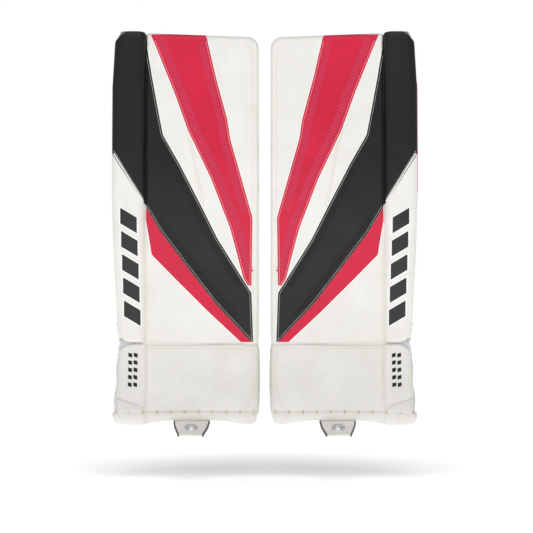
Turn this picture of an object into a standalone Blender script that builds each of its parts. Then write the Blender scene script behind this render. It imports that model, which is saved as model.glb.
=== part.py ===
"""A pair of ice hockey goalie leg pads, each a mirror image of the other.

Every shape is worked out for one pad in pad coordinates: x is the distance outward from the plane between the
pads, y runs from the face to the back, z is up. place() mirrors it to its side. Metres throughout.
"""

import math

import bmesh
import bpy
from mathutils import Vector

# Overall layout
DEPTH_SHIFT = 0.018  # added to every y, so that the origin is under the middle of the pair
GAP = 0.0003  # between touching pieces
INNER = 0.0115  # inner side of a pad
GUTTER = 0.2208  # outer edge of the face, where the roll begins
ROLL_INNER = 0.2214
ROLL_PROUD = 0.009  # how far the roll stands in front of the face
ROLL_TOP = 0.755
ROLL_BOTTOM = 0.1765  # of the shin's roll, above the break
FACE_TOP = 0.7395
BREAK_HEIGHT = 0.1702  # where boot and shin meet
BREAK_SLOPE = 0.10  # each side of the break falls away from it by this much a metre of depth
SKIN = 0.0015  # leather thickness
BAND_SKIN = 0.0012
STIFFENER_SKIN = 0.003
SHEET_SKIN = 0.002
ROLL_CORE_INSET = 0.0032
CORE_INSET = 0.002  # the foam stops short of the back sheet, because the break slopes away with depth

# Side profile: height, front skin
SHIN_FACE = (
    (0.1712, -0.0550), (0.25, -0.0620), (0.35, -0.0720), (0.45, -0.0770),
    (0.55, -0.0715), (0.65, -0.0615), (0.7150, -0.0532), (FACE_TOP, -0.0500),
)
BOOT_FACE = ((0.0210, -0.1000), (0.0465, -0.0912), (0.085, -0.0785), (0.125, -0.0665), (0.1692, -0.0555))
# Height, depth of foam behind the skin
SHIN_DEPTH = ((0.1712, 0.058), (0.25, 0.060), (0.45, 0.056), (FACE_TOP, 0.048))
BOOT_DEPTH = 0.045
# Height, inner side of the pad: the top inner corner is cut off
INNER_SIDE = ((0.7150, INNER), (FACE_TOP, INNER + 0.014))
# Height, outer side of the roll
OUTER_SIDE = (
    (0.0210, 0.2800), (0.085, 0.2770), (0.1700, 0.2728), (0.1765, 0.2735), (0.25, 0.2770),
    (0.35, 0.2815), (0.45, 0.2840), (0.65, 0.2840), (0.7500, 0.2790),
)

# Edges of the coloured panels on the face: height, distance from the plane between the pads
BLACK_INNER_EDGE = (
    (0.1745, 0.0215), (0.2660, 0.0247), (0.3664, 0.0874), (0.4241, 0.1161), (0.5050, 0.1579),
    (0.5599, 0.1892), (0.6145, 0.1998), (0.6696, 0.2102), (0.7230, 0.2195),
)
BLACK_OUTER_EDGE = (
    (0.1745, 0.0245), (0.1888, 0.0379), (0.2448, 0.0900), (0.3127, 0.1423), (0.3806, 0.1931),
    (0.4270, 0.2205), (0.7230, 0.2205),
)
RED_LOWER_OUTER_EDGE = (
    (0.1745, 0.0446), (0.2292, 0.1030), (0.2944, 0.1683), (0.3374, 0.2102), (0.3590, 0.2133),
    (0.4018, 0.2205), (0.4240, 0.2205),
)
RED_UPPER_OUTER_EDGE = (
    (0.2760, 0.0304), (0.2939, 0.0404), (0.3657, 0.0593), (0.3869, 0.0651), (0.4790, 0.1004),
    (0.5679, 0.1432), (0.6380, 0.1683), (0.7087, 0.1970), (0.7370, 0.2085),
)
RED_UPPER_INNER_EDGE = (
    (0.2760, 0.0246), (0.4064, 0.0227), (0.5519, 0.0640), (0.5878, 0.0694), (0.6640, 0.0900),
    (0.7370, 0.1070),
)
# The black and white roll covers meet on a slant
ROLL_SEAM = ((0.2214, 0.4310), (0.2835, 0.5310))  # distance from the plane, height

# Toe welt: distance from the plane, height of its lower edge. Flat where the boot rests.
WELT_ARCH = (
    (0.0100, 0.0235), (0.0300, 0.0225), (0.0750, 0.0285), (0.1000, 0.0300), (0.1700, 0.0300),
    (0.2000, 0.0270), (0.2250, 0.0225), (0.2620, 0.0225), (0.2810, 0.0235),
)
WELT_TOP = 0.0460
WELT_PROUD = 0.003

# Toe tab
TAB_CENTRE = 0.131
TAB_ROOT = (-0.092, 0.0290)  # y and z of its upper edge
TAB_SLOPE = math.radians(21.4)
TAB_THICKNESS = 0.0045
TAB_WIDTHS = ((0.0, 0.068), (0.020, 0.064), (0.045, 0.054), (0.064, 0.047), (0.071, 0.042))  # along it, width
RIVET_ALONG = 0.032
RIVET_RADIUS = 0.013
RIVET_HEIGHT = 0.0045

# Back of the pad
LINER_REAR = 0.022
CALF_HEIGHTS = (0.20, 0.42)
KNEE_HEIGHTS = (0.435, 0.565)
KNEE_REAR = 0.118
KNEE_BASE_REAR = 0.1260  # the inner block stands a little deeper than the strap that closes on the cushion
CHANNEL_SIDES = (0.075, 0.205)
KNEE_BASE_SIDES = (0.0135, 0.0360)
KNEE_CUSHION_SIDES = (0.0363, 0.0580)
BACK_START = 0.0028  # behind the foam, clear of the back sheet
CALF_GUARD_PATH = ((0.0165, 0.05), (0.0220, 0.085), (0.0400, 0.112), (0.0660, 0.122))
CALF_FLAP_PATH = ((0.2660, 0.0155), (0.2680, 0.05), (0.2620, 0.085), (0.2440, 0.110), (0.2225, 0.120))
CALF_STRAP_PATH = ((0.2225, 0.1262), (0.1850, 0.1270), (0.1100, 0.1272), (0.0660, 0.1262), (0.0440, 0.1180))
KNEE_WING_PATH = ((0.2660, 0.006), (0.2680, 0.045), (0.2640, 0.080), (0.2500, 0.104), (0.2330, 0.1150))
KNEE_STRAP_PATH = ((0.2330, 0.1212), (0.1900, 0.1232), (0.1200, 0.1235), (0.0600, 0.1207), (0.0390, 0.1207))
BOOT_LOOP_PATH = ((0.0195, -0.0120), (0.0195, 0.025), (0.0300, 0.053), (0.0550, 0.0715), (0.0750, 0.0765))
BOOT_STRAP_PATH = (
    (0.2620, -0.0100), (0.2640, 0.025), (0.2520, 0.058), (0.2100, 0.079), (0.1400, 0.0860),
    (0.0750, 0.0812), (0.0500, 0.0740),
)
CALF_HINGE = (0.2665, 0.0150)
KNEE_HINGE = (0.262, 0.004)
CALF_STRAP_HINGE = (0.2225, 0.1275)
KNEE_STRAP_HINGE = (0.2330, 0.1225)
BOOT_STRAP_HINGE = (0.2620, -0.0110)
FLAP_THICKNESS = 0.008
GUARD_THICKNESS = 0.010
STRAP_THICKNESS = 0.002
STRAP_BANDS = {"calf_strap": (0.355, 0.385), "shin_strap": (0.235, 0.265)}
KNEE_STRAP_BAND = (0.485, 0.515)
BOOT_STRAP_BAND = (0.100, 0.130)

MATERIALS = {
    "white_leather": ((0.86, 0.85, 0.82, 1), 0.50, 0.0),
    "black_leather": ((0.025, 0.025, 0.027, 1), 0.50, 0.0),
    "red_leather": ((0.55, 0.012, 0.045, 1), 0.50, 0.0),
    "foam": ((0.45, 0.45, 0.46, 1), 0.95, 0.0),
    "polyethylene": ((0.80, 0.82, 0.80, 1), 0.35, 0.0),
    "nylon": ((0.04, 0.04, 0.045, 1), 0.80, 0.0),
    "webbing": ((0.03, 0.03, 0.03, 1), 0.85, 0.0),
    "chrome": ((0.75, 0.75, 0.76, 1), 0.15, 1.0),
}


def at(table, where):
    """The value of a (place, value) table at a place, straight between its points."""
    if where <= table[0][0]:
        return table[0][1]
    for (low, first), (high, second) in zip(table, table[1:]):
        if where <= high:
            return first + (second - first) * (where - low) / (high - low)
    return table[-1][1]


def shin_back(z):
    return at(SHIN_FACE, z) + at(SHIN_DEPTH, z)


def boot_back(z):
    return at(BOOT_FACE, z) + BOOT_DEPTH


def levels_between(low, high, *tables):
    """The two limits and every height that the tables name between them."""
    inside = {z for table in tables for z, _ in table if low + 0.002 < z < high - 0.002}
    return [low, *sorted(inside), high]


def remove_everything():
    for thing in list(bpy.data.objects):
        bpy.data.objects.remove(thing, do_unlink=True)


def make_material(name):
    colour, roughness, metallic = MATERIALS[name]
    material = bpy.data.materials.new(name)
    material.use_nodes = True
    shader = material.node_tree.nodes["Principled BSDF"]
    shader.inputs["Base Color"].default_value = colour
    shader.inputs["Roughness"].default_value = roughness
    shader.inputs["Metallic"].default_value = metallic
    return material


class Pad:
    """One pad: its side (-1 for the right leg, +1 for the left), its pieces and its joint empties."""

    def __init__(self, side, prefix, collection, materials):
        self.side = side
        self.prefix = prefix
        self.collection = collection
        self.materials = materials

    def place(self, point):
        x, y, z = point
        return Vector((self.side * x, y + DEPTH_SHIFT, z))

    def pivot(self, name, point):
        """An empty on a joint's axis, which the moving pieces hang from."""
        empty = bpy.data.objects.new(f"{self.prefix}_{name}_axis", None)
        empty.location = self.place(point)
        empty.empty_display_size = 0.02
        self.collection.objects.link(empty)
        return empty

    def add(self, name, mesh_maker, material, pivot=None):
        """Make an object from a bmesh in world places, hung from its pivot."""
        if pivot:
            bmesh.ops.translate(mesh_maker, vec=-pivot.location, verts=mesh_maker.verts)
        mesh = bpy.data.meshes.new(f"{self.prefix}_{name}")
        mesh_maker.to_mesh(mesh)
        mesh_maker.free()
        mesh.materials.append(self.materials[material])
        piece = bpy.data.objects.new(f"{self.prefix}_{name}", mesh)
        self.collection.objects.link(piece)
        piece.parent = pivot
        return piece

    def loft(self, name, rings, material, pivot=None):
        """A solid through rings of points, closed at both ends."""
        bm = bmesh.new()
        rows = [[bm.verts.new(self.place(p)) for p in ring] for ring in rings]
        count = len(rows[0])
        for low, high in zip(rows, rows[1:]):
            for i in range(count):
                j = (i + 1) % count
                bm.faces.new((low[i], low[j], high[j], high[i]))
        bm.faces.new(rows[0])
        bm.faces.new(rows[-1])
        bmesh.ops.recalc_face_normals(bm, faces=bm.faces)
        return self.add(name, bm, material, pivot)

    def shell(self, name, columns, thickness, material, pivot=None):
        """An open surface through columns of points, whose outer side faces left of the way the columns run
        from above, thickened inward."""
        bm = bmesh.new()
        rows = [[bm.verts.new(self.place(p)) for p in column] for column in columns]
        for first, second in zip(rows, rows[1:]):
            for i in range(len(first) - 1):
                corners = (first[i], first[i + 1], second[i + 1], second[i])
                bm.faces.new(corners if self.side > 0 else corners[::-1])
        piece = self.add(name, bm, material, pivot)
        solid = piece.modifiers.new("thickness", "SOLIDIFY")
        solid.thickness = thickness
        solid.offset = -1
        solid.use_even_offset = True
        return piece

    def wall(self, name, path, low, high, thickness, material, pivot=None, start=None):
        """An upright curved sheet over a plan path. start(z), where given, adds a first point at x of the
        path's first point."""
        levels = levels_between(low, high, SHIN_FACE) if start else [low, high]
        columns = []
        if start:
            columns.append([(path[0][0], start(z), z) for z in levels])
        columns += [[(x, y, z) for z in levels] for x, y in path]
        return self.shell(name, columns, thickness, material, pivot)


def front_box(low_x, high_x, front, back, z, slope=0.0, chamfer=0.0):
    """A ring round a slice of foam at height z, its inner front corner cut off. slope tilts it with depth."""
    corners = [(low_x, back), (high_x, back), (high_x, front), (low_x + chamfer, front)]
    if chamfer:
        corners.append((low_x, front + chamfer))
    return [(x, y, z + slope * (y - front)) for x, y in corners]


def roll_ring(z, inset, front, back, slope=0.0):
    """A ring round the outer roll at height z, set in by inset from its cover."""
    left = ROLL_INNER + inset
    right = at(OUTER_SIDE, z) - inset
    near = front + inset
    corners = [
        (left, back), (left, near + 0.010), (left + 0.008, near), (right - 0.014, near),
        (right - 0.004, near + 0.004), (right, near + 0.014), (right, back),
    ]
    return [(x, y, z + slope * (y - front)) for x, y in corners]


def make_shin(pad):
    levels = [z for z, _ in SHIN_FACE]
    core_levels = [0.1745, *levels[1:-1], 0.7370]
    pad.loft(
        "shin_core",
        [
            front_box(
                at(INNER_SIDE, z) + 0.0030, GUTTER - 0.0020, at(SHIN_FACE, z) + 0.0056,
                shin_back(z) - CORE_INSET, z,
                BREAK_SLOPE if z == core_levels[0] else 0.0, 0.012,
            )
            for z in core_levels
        ],
        "foam",
    )
    pad.loft(
        "face_stiffener",
        [
            front_box(at(INNER_SIDE, z) + 0.015, GUTTER - 0.002, at(SHIN_FACE, z) + 0.0020,
                      at(SHIN_FACE, z) + 0.0020 + STIFFENER_SKIN, z)
            for z in [0.1760, *levels[1:-1], 0.7360]
        ],
        "polyethylene",
    )

    def skin_column(inset, inward, to_back=False):
        column = []
        for z in levels:
            y = shin_back(z) if to_back else at(SHIN_FACE, z) + inward
            rise = BREAK_SLOPE * (y - at(SHIN_FACE, z)) if z == levels[0] else 0.0
            column.append((at(INNER_SIDE, z) + inset, y, z + rise))
        return column

    pad.shell(
        "face_shell",
        [
            [(GUTTER, at(SHIN_FACE, z), z) for z in levels], skin_column(0.010, 0.0),
            skin_column(0.003, 0.003), skin_column(0.0, 0.010), skin_column(0.0, 0.0, True),
        ],
        SKIN, "white_leather",
    )
    pad.loft(
        "back_panel",
        [
            front_box(at(INNER_SIDE, z) + 0.002, GUTTER, shin_back(z) + GAP, shin_back(z) + GAP + SHEET_SKIN, z)
            for z in [0.190, *levels[1:-1], 0.7360]
        ],
        "nylon",
    )


def make_band(pad, name, inner_edge, outer_edge, low, high, material, inner_gap=0.0, outer_gap=0.0):
    """A coloured leather panel on the face, between two edges."""
    rings = []
    for z in levels_between(low, high, SHIN_FACE, inner_edge, outer_edge):
        front = at(SHIN_FACE, z) - GAP - BAND_SKIN
        left, right = at(inner_edge, z) + inner_gap, at(outer_edge, z) - outer_gap
        rings.append(front_box(left, right, front, front + BAND_SKIN, z))
    pad.loft(name, rings, material)


def make_bands(pad):
    between = 0.0006
    make_band(pad, "black_band", BLACK_INNER_EDGE, BLACK_OUTER_EDGE, 0.1745, 0.7230, "black_leather")
    make_band(pad, "red_lower_band", BLACK_OUTER_EDGE, RED_LOWER_OUTER_EDGE, 0.1745, 0.4240, "red_leather",
              inner_gap=between)
    make_band(pad, "red_upper_band", RED_UPPER_INNER_EDGE, RED_UPPER_OUTER_EDGE, 0.2800, 0.7370, "red_leather",
              outer_gap=between)


def make_roll(pad):
    levels = [z for z, _ in SHIN_FACE[1:]]
    low, high = ROLL_BOTTOM, ROLL_TOP

    def ring(z, inset, slope=0.0):
        return roll_ring(z, inset, at(SHIN_FACE, z) - ROLL_PROUD, shin_back(z) + 0.006, slope)

    core = [ring(low + 0.002, ROLL_CORE_INSET, BREAK_SLOPE), *[ring(z, ROLL_CORE_INSET) for z in levels]]
    core.append(ring(high, 0.010))
    pad.loft("roll_core", core, "foam")

    # Both covers follow the same seven corners, from the gutter round the front to the outer side.
    corners = range(len(ring(low, 0.0)))
    seam = [at(ROLL_SEAM, ring(0.48, 0.0)[i][0]) for i in corners]
    step = 0.004  # least distance between two heights of a column
    seam_gap = 0.0020

    def cover(name, heights_at, material):
        columns = [[ring(z, 0.0)[i] for z in heights_at(seam[i])] for i in corners]
        pad.shell(name, columns[::-1], SKIN, material)

    def black_heights(bottom):
        return [bottom + seam_gap, max(0.45, bottom + step), 0.55, 0.65, 0.75]

    def white_heights(top):
        return [low, 0.25, 0.35, min(0.45, top - step), top]

    cover("roll_cover_black", black_heights, "black_leather")
    cover("roll_cover_white", white_heights, "white_leather")


def make_back(pad):
    """Leg channel, inner calf guard and knee stack, all fixed to the shin."""

    def start(z):
        return shin_back(z) + BACK_START

    low, high = CALF_HEIGHTS
    pad.loft(
        "leg_channel",
        [front_box(*CHANNEL_SIDES, start(z), LINER_REAR, z) for z in levels_between(low, high, SHIN_FACE)],
        "nylon",
    )
    pad.wall("calf_guard", CALF_GUARD_PATH, low, high, GUARD_THICKNESS, "nylon", start=start)
    low, high = KNEE_HEIGHTS
    pad.loft(
        "knee_base",
        [front_box(*KNEE_BASE_SIDES, start(z), KNEE_BASE_REAR, z) for z in levels_between(low, high, SHIN_FACE)],
        "white_leather",
    )
    pad.loft(
        "knee_cushion",
        [front_box(*KNEE_CUSHION_SIDES, start(z), KNEE_REAR, z) for z in levels_between(low, high, SHIN_FACE)],
        "nylon",
    )


def make_wings(pad):
    """The flaps on the outer side and the straps that close them."""
    low, high = CALF_HEIGHTS
    hinge = pad.pivot("calf_flap", (*CALF_HINGE, low))
    pad.wall("calf_flap", CALF_FLAP_PATH[::-1], low, high, FLAP_THICKNESS, "white_leather", hinge)
    for name, (bottom, top) in STRAP_BANDS.items():
        strap_hinge = pad.pivot(name, (*CALF_STRAP_HINGE, bottom))
        pad.wall(name, CALF_STRAP_PATH[::-1], bottom, top, STRAP_THICKNESS, "webbing", strap_hinge)
    low, high = KNEE_HEIGHTS
    hinge = pad.pivot("knee_wing", (*KNEE_HINGE, low))
    pad.wall("knee_wing", KNEE_WING_PATH[::-1], low, high, FLAP_THICKNESS, "white_leather", hinge)
    bottom, top = KNEE_STRAP_BAND
    strap_hinge = pad.pivot("knee_strap", (*KNEE_STRAP_HINGE, bottom))
    pad.wall("knee_strap", KNEE_STRAP_PATH[::-1], bottom, top, STRAP_THICKNESS, "webbing", strap_hinge)


def make_boot(pad):
    hinge = pad.pivot("boot_break", (0.14, at(SHIN_FACE, BREAK_HEIGHT) - 0.002, BREAK_HEIGHT))
    levels = [z for z, _ in BOOT_FACE[1:]]
    top = levels[-1]

    def slope(z):
        return -BREAK_SLOPE if z == top else 0.0

    pad.loft(
        "boot_core",
        [
            front_box(INNER + 0.0030, GUTTER - 0.002, at(BOOT_FACE, z) + 0.0036, boot_back(z) - CORE_INSET,
                      z - 0.0030 if z == top else z, slope(z), 0.012)
            for z in levels
        ],
        "foam", hinge,
    )

    def skin_column(x, inward, to_back=False):
        column = []
        for z in levels:
            y = boot_back(z) if to_back else at(BOOT_FACE, z) + inward
            column.append((x, y, z + slope(z) * (y - at(BOOT_FACE, z))))
        return column

    pad.shell(
        "boot_shell",
        [
            skin_column(GUTTER, 0.0), skin_column(INNER + 0.010, 0.0), skin_column(INNER + 0.003, 0.003),
            skin_column(INNER, 0.010), skin_column(INNER, 0.0, True),
        ],
        SKIN, "white_leather", hinge,
    )

    def ring(z, inset):
        return roll_ring(z, inset, at(BOOT_FACE, z) - ROLL_PROUD, boot_back(z) + 0.003, slope(z))

    pad.loft(
        "boot_roll_core", [*[ring(z, ROLL_CORE_INSET) for z in levels[:-1]], ring(top, 0.007)], "foam", hinge
    )
    corners = range(len(ring(top, 0.0)))
    columns = [[ring(z, 0.0)[i] for z in levels] for i in corners]
    pad.shell("boot_roll_cover", columns[::-1], SKIN, "white_leather", hinge)
    pad.loft(
        "boot_liner",
        [
            front_box(INNER + 0.002, GUTTER - 0.002, boot_back(z) + GAP, boot_back(z) + 0.006, z)
            for z in (0.050, *levels[1:-1], 0.152)
        ],
        "nylon", hinge,
    )
    front, lip = at(BOOT_FACE, WELT_TOP) - WELT_PROUD, at(BOOT_FACE, 0.0210) - WELT_PROUD
    back = boot_back(WELT_TOP)
    pad.loft(
        "toe_welt",
        [
            [(x, front, WELT_TOP), (x, lip, low), (x, back - 0.006, low), (x, back, WELT_TOP)]
            for x, low in WELT_ARCH
        ],
        "white_leather", hinge,
    )
    low, high = BOOT_STRAP_BAND
    pad.wall("boot_strap_loop", BOOT_LOOP_PATH, low, high, 0.003, "nylon", hinge)
    strap_hinge = pad.pivot("boot_strap", (*BOOT_STRAP_HINGE, low))
    pad.wall("boot_strap", BOOT_STRAP_PATH[::-1], low, high, STRAP_THICKNESS, "webbing", strap_hinge)


def make_toe_tab(pad):
    root_y, root_z = TAB_ROOT
    hinge = pad.pivot("toe_tab", (TAB_CENTRE, root_y, root_z - TAB_THICKNESS / 2))
    along = Vector((0, -math.cos(TAB_SLOPE), -math.sin(TAB_SLOPE)))
    up = Vector((0, -math.sin(TAB_SLOPE), math.cos(TAB_SLOPE)))
    rings = []
    for distance, width in TAB_WIDTHS:
        thin = 0.0012 if distance == TAB_WIDTHS[-1][0] else 0.0
        middle = Vector((TAB_CENTRE, root_y, root_z)) + along * distance
        top, bottom = middle - up * thin, middle - up * (TAB_THICKNESS - thin)
        rings.append([
            (TAB_CENTRE - width / 2, top.y, top.z), (TAB_CENTRE + width / 2, top.y, top.z),
            (TAB_CENTRE + width / 2, bottom.y, bottom.z), (TAB_CENTRE - width / 2, bottom.y, bottom.z),
        ])
    pad.loft("toe_tab", rings, "white_leather", hinge)

    # A low dome, turned about its own axis and laid on the tab
    profile = bmesh.new()
    points = [(0.0, RIVET_HEIGHT), (0.6, RIVET_HEIGHT * 0.86), (0.9, RIVET_HEIGHT * 0.45), (1.0, 0.0), (0.0, 0.0)]
    corners = [profile.verts.new((r * RIVET_RADIUS, 0, z)) for r, z in points]
    for first, second in zip(corners, corners[1:]):
        profile.edges.new((first, second))
    rivet = pad.add("toe_rivet", profile, "chrome")
    turn = rivet.modifiers.new("turn", "SCREW")
    turn.steps = turn.render_steps = 20
    turn.use_merge_vertices = True
    turn.merge_threshold = 0.0001
    seat = pad.place(Vector((TAB_CENTRE, root_y, root_z)) + along * RIVET_ALONG + up * GAP)
    rivet.parent = hinge
    rivet.location = seat - hinge.location
    rivet.rotation_euler = (TAB_SLOPE, 0, 0)


def make_pair():
    remove_everything()
    collection = bpy.data.collections.new("goalie_leg_pads")
    bpy.context.scene.collection.children.link(collection)
    materials = {name: make_material(name) for name in MATERIALS}
    for side, prefix in ((-1, "right"), (1, "left")):
        pad = Pad(side, prefix, collection, materials)
        make_shin(pad)
        make_bands(pad)
        make_roll(pad)
        make_back(pad)
        make_wings(pad)
        make_boot(pad)
        make_toe_tab(pad)
    bpy.context.view_layer.update()


make_pair()
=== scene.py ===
"""The looks of a pair of ice hockey goalie leg pads, built round the CAD frame.

Shapes are worked out in pad coordinates: x is the distance outward from the plane between the two pads,
y and z are the frame's own. Pad.place() mirrors them to the pad's side. Metres throughout.
"""

import math

import bmesh
import bpy
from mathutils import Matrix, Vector, noise


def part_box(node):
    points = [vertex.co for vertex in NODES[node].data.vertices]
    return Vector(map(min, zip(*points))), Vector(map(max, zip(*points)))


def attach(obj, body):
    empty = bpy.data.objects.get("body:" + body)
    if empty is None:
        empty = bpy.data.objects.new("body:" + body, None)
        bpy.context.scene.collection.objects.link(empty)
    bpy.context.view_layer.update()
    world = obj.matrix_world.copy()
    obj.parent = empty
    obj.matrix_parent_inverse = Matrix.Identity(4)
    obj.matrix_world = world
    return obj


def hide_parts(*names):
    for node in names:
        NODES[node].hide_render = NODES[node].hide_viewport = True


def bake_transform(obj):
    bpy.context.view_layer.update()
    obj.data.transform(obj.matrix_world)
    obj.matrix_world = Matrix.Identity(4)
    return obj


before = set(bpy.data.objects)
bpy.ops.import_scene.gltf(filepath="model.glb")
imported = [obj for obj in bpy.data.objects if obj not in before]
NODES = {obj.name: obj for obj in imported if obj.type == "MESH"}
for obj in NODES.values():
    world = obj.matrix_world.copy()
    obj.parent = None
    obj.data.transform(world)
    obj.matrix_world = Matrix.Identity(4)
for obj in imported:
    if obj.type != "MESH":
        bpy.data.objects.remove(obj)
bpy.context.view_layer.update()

MM = 0.001


# ---------------------------------------------------------------- reading the frame

def node_rows(node):
    """A CAD node's (height, (least, greatest distance outward, nearest y)) at the height of each corner."""
    mesh = NODES[node].data
    levels = sorted({round(vertex.co.z, 4) for vertex in mesh.vertices})
    edges = [[mesh.vertices[i].co for i in edge.vertices] for edge in mesh.edges]
    rows = []
    for level in levels:
        crossing = []
        for a, b in edges:
            low, high = min(a.z, b.z), max(a.z, b.z)
            if low - 0.05 * MM <= level <= high + 0.05 * MM:
                share = min(1.0, max(0.0, (level - a.z) / (b.z - a.z))) if high - low > 0.2 * MM else 0.0
                crossing += [a.lerp(b, share)] if high - low > 0.2 * MM else [a, b]
        rows.append((level, (min(abs(p.x) for p in crossing), max(abs(p.x) for p in crossing),
                             min(p.y for p in crossing))))
    return rows


def table(node, column, shift=0.0):
    return [(z, values[column] + shift) for z, values in node_rows(node)]


def straight(points, where):
    """The value at a place in a (place, value) table, straight between points and on past its ends."""
    for (a, first), (b, second) in zip(points, points[1:]):
        if where <= b:
            break
    return first + (second - first) * (where - a) / (b - a)


def smooth(points, where):
    """As straight(), but on one smooth curve through the points."""
    count = len(points)
    i = 0
    while i < count - 2 and where > points[i + 1][0]:
        i += 1

    def slope(k):
        a, b = max(k - 1, 0), min(k + 1, count - 1)
        return (points[b][1] - points[a][1]) / (points[b][0] - points[a][0])

    (a, first), (b, second) = points[i], points[i + 1]
    span = b - a
    if where <= a:
        return first + slope(i) * (where - a)
    if where >= b:
        return second + slope(i + 1) * (where - b)
    t = (where - a) / span
    return (
        first * (2 * t**3 - 3 * t**2 + 1) + slope(i) * span * (t**3 - 2 * t**2 + t)
        + second * (3 * t**2 - 2 * t**3) + slope(i + 1) * span * (t**3 - t**2)
    )


# The face's side profile comes from the stiff sheet that lies 2 mm under it, and the boot's from its liner.
SHIN_PROFILE = table("right_face_stiffener", 2, -2.0 * MM)
BOOT_DEPTH = 45.3 * MM
BOOT_PROFILE = table("right_boot_liner", 2, -BOOT_DEPTH)
face_low, face_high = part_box("left_face_shell")
boot_low, boot_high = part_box("left_boot_shell")
roll_low, roll_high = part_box("left_roll_core")
welt_low, welt_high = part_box("left_toe_welt")

INNER = face_low[0]  # inner side of a pad
GUTTER = face_high[0]  # where the face meets the roll
ROLL_INNER = GUTTER + 0.6 * MM
FACE_BOTTOM = face_low[2]
FACE_TOP = face_high[2]
ROLL_TOP = roll_high[2]
BOOT_TOP = boot_high[2]
BOOT_BOTTOM = boot_low[2]
ROLL_PROUD = 9 * MM  # how far the rolls stand out in front of the face
ROLL_BOTTOM = 176.5 * MM
BREAK = 170 * MM  # height of the seam where the boot flexes
SKIN = 1.5 * MM  # thickness of the leather
SHIN_BACK = table("right_back_panel", 2, -0.3 * MM)
EDGE_LEVELS = {z for z, _ in SHIN_PROFILE}
OUTER_SIDE = [(z, values[1] + 3.2 * MM) for z, values in node_rows("left_roll_core") if z in EDGE_LEVELS]
BOOT_OUTER = [(z, values[1]) for z, values in node_rows("left_boot_roll_core") if z < 0.14]
WELT_BOTTOM = {}
for corner in NODES["left_toe_welt"].data.vertices:
    along = round(corner.co.x, 4)
    WELT_BOTTOM[along] = min(WELT_BOTTOM.get(along, 1.0), corner.co.z)
WELT_BOTTOM = sorted(WELT_BOTTOM.items())


# ---------------------------------------------------------------- materials

GRAIN_MM = 1.4  # spacing of the leather's pebbles
CREASE_DEPTH = 0.5 * MM


def linear(code):
    """A #RRGGBB sRGB colour as linear RGBA."""
    channels = [int(code[i : i + 2], 16) / 255 for i in (1, 3, 5)]
    return [c / 12.92 if c <= 0.04045 else ((c + 0.055) / 1.055) ** 2.4 for c in channels] + [1.0]


def node(tree, kind, settings=None, links=None):
    """Add a node of this kind, set its properties or inputs, and link other nodes' outputs to its inputs."""
    made = tree.nodes.new(kind)
    for key, value in (settings or {}).items():
        if isinstance(key, str) and hasattr(made, key):
            setattr(made, key, value)
        else:
            made.inputs[key].default_value = value
    for key, source in (links or {}).items():
        tree.links.new(source, made.inputs[key])
    return made


def finish(name, settings):
    """A new material with its shader's own values set, its tree and its shader."""
    material = bpy.data.materials.new(name)
    material.use_nodes = True
    tree = material.node_tree
    shader = tree.nodes["Principled BSDF"]
    for key, value in settings.items():
        shader.inputs[key].default_value = value
    return material, tree, shader


def two_tone(tree, shader, source, first_code, second_code, first=0.0, second=1.0):
    """Colour the shader from one colour to another as the source rises from first to second."""
    ramp = node(tree, "ShaderNodeValToRGB", {}, {"Fac": source})
    for stop, place, code in zip(ramp.color_ramp.elements, (first, second), (first_code, second_code)):
        stop.position = place
        stop.color = linear(code)
    tree.links.new(ramp.outputs["Color"], shader.inputs["Base Color"])


def coated_leather(name, code, deep_code, roughness, grain_depth=0.10):
    """Polyurethane-coated microfibre, moulded with a fine pebble grain. The coat gives it a soft satin gloss,
    and where it is pulled over foam it shows shallow creases and slightly darker hollows. The grain is drawn
    at about twice its real size, to show."""
    material, tree, shader = finish(name, {"IOR": 1.5, "Specular IOR Level": 0.42})
    place = node(tree, "ShaderNodeTexCoord")
    cloud = node(tree, "ShaderNodeTexNoise", {"Scale": 14.0, "Detail": 4.0, "Roughness": 0.55},
                 {"Vector": place.outputs["Object"]})
    pebble = node(tree, "ShaderNodeTexVoronoi", {"Scale": 1000.0 / GRAIN_MM, "Randomness": 0.9},
                  {"Vector": place.outputs["Object"]})
    two_tone(tree, shader, cloud.outputs["Fac"], deep_code, code, 0.30, 0.62)
    gloss = node(tree, "ShaderNodeMapRange",
                 {"From Min": 0.3, "From Max": 0.7, "To Min": roughness - 0.05, "To Max": roughness + 0.07},
                 {"Value": cloud.outputs["Fac"]})
    grain = node(tree, "ShaderNodeBump", {"Strength": 0.5, "Distance": grain_depth * MM},
                 {"Height": pebble.outputs["Distance"]})
    crease_shape = node(tree, "ShaderNodeTexNoise", {"Scale": 55.0, "Detail": 3.0, "Distortion": 0.6},
                        {"Vector": place.outputs["Object"]})
    crease = node(tree, "ShaderNodeBump", {"Strength": 0.45, "Distance": CREASE_DEPTH},
                  {"Height": crease_shape.outputs["Fac"], "Normal": grain.outputs["Normal"]})
    tree.links.new(gloss.outputs["Result"], shader.inputs["Roughness"])
    tree.links.new(crease.outputs["Normal"], shader.inputs["Normal"])
    return material


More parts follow.
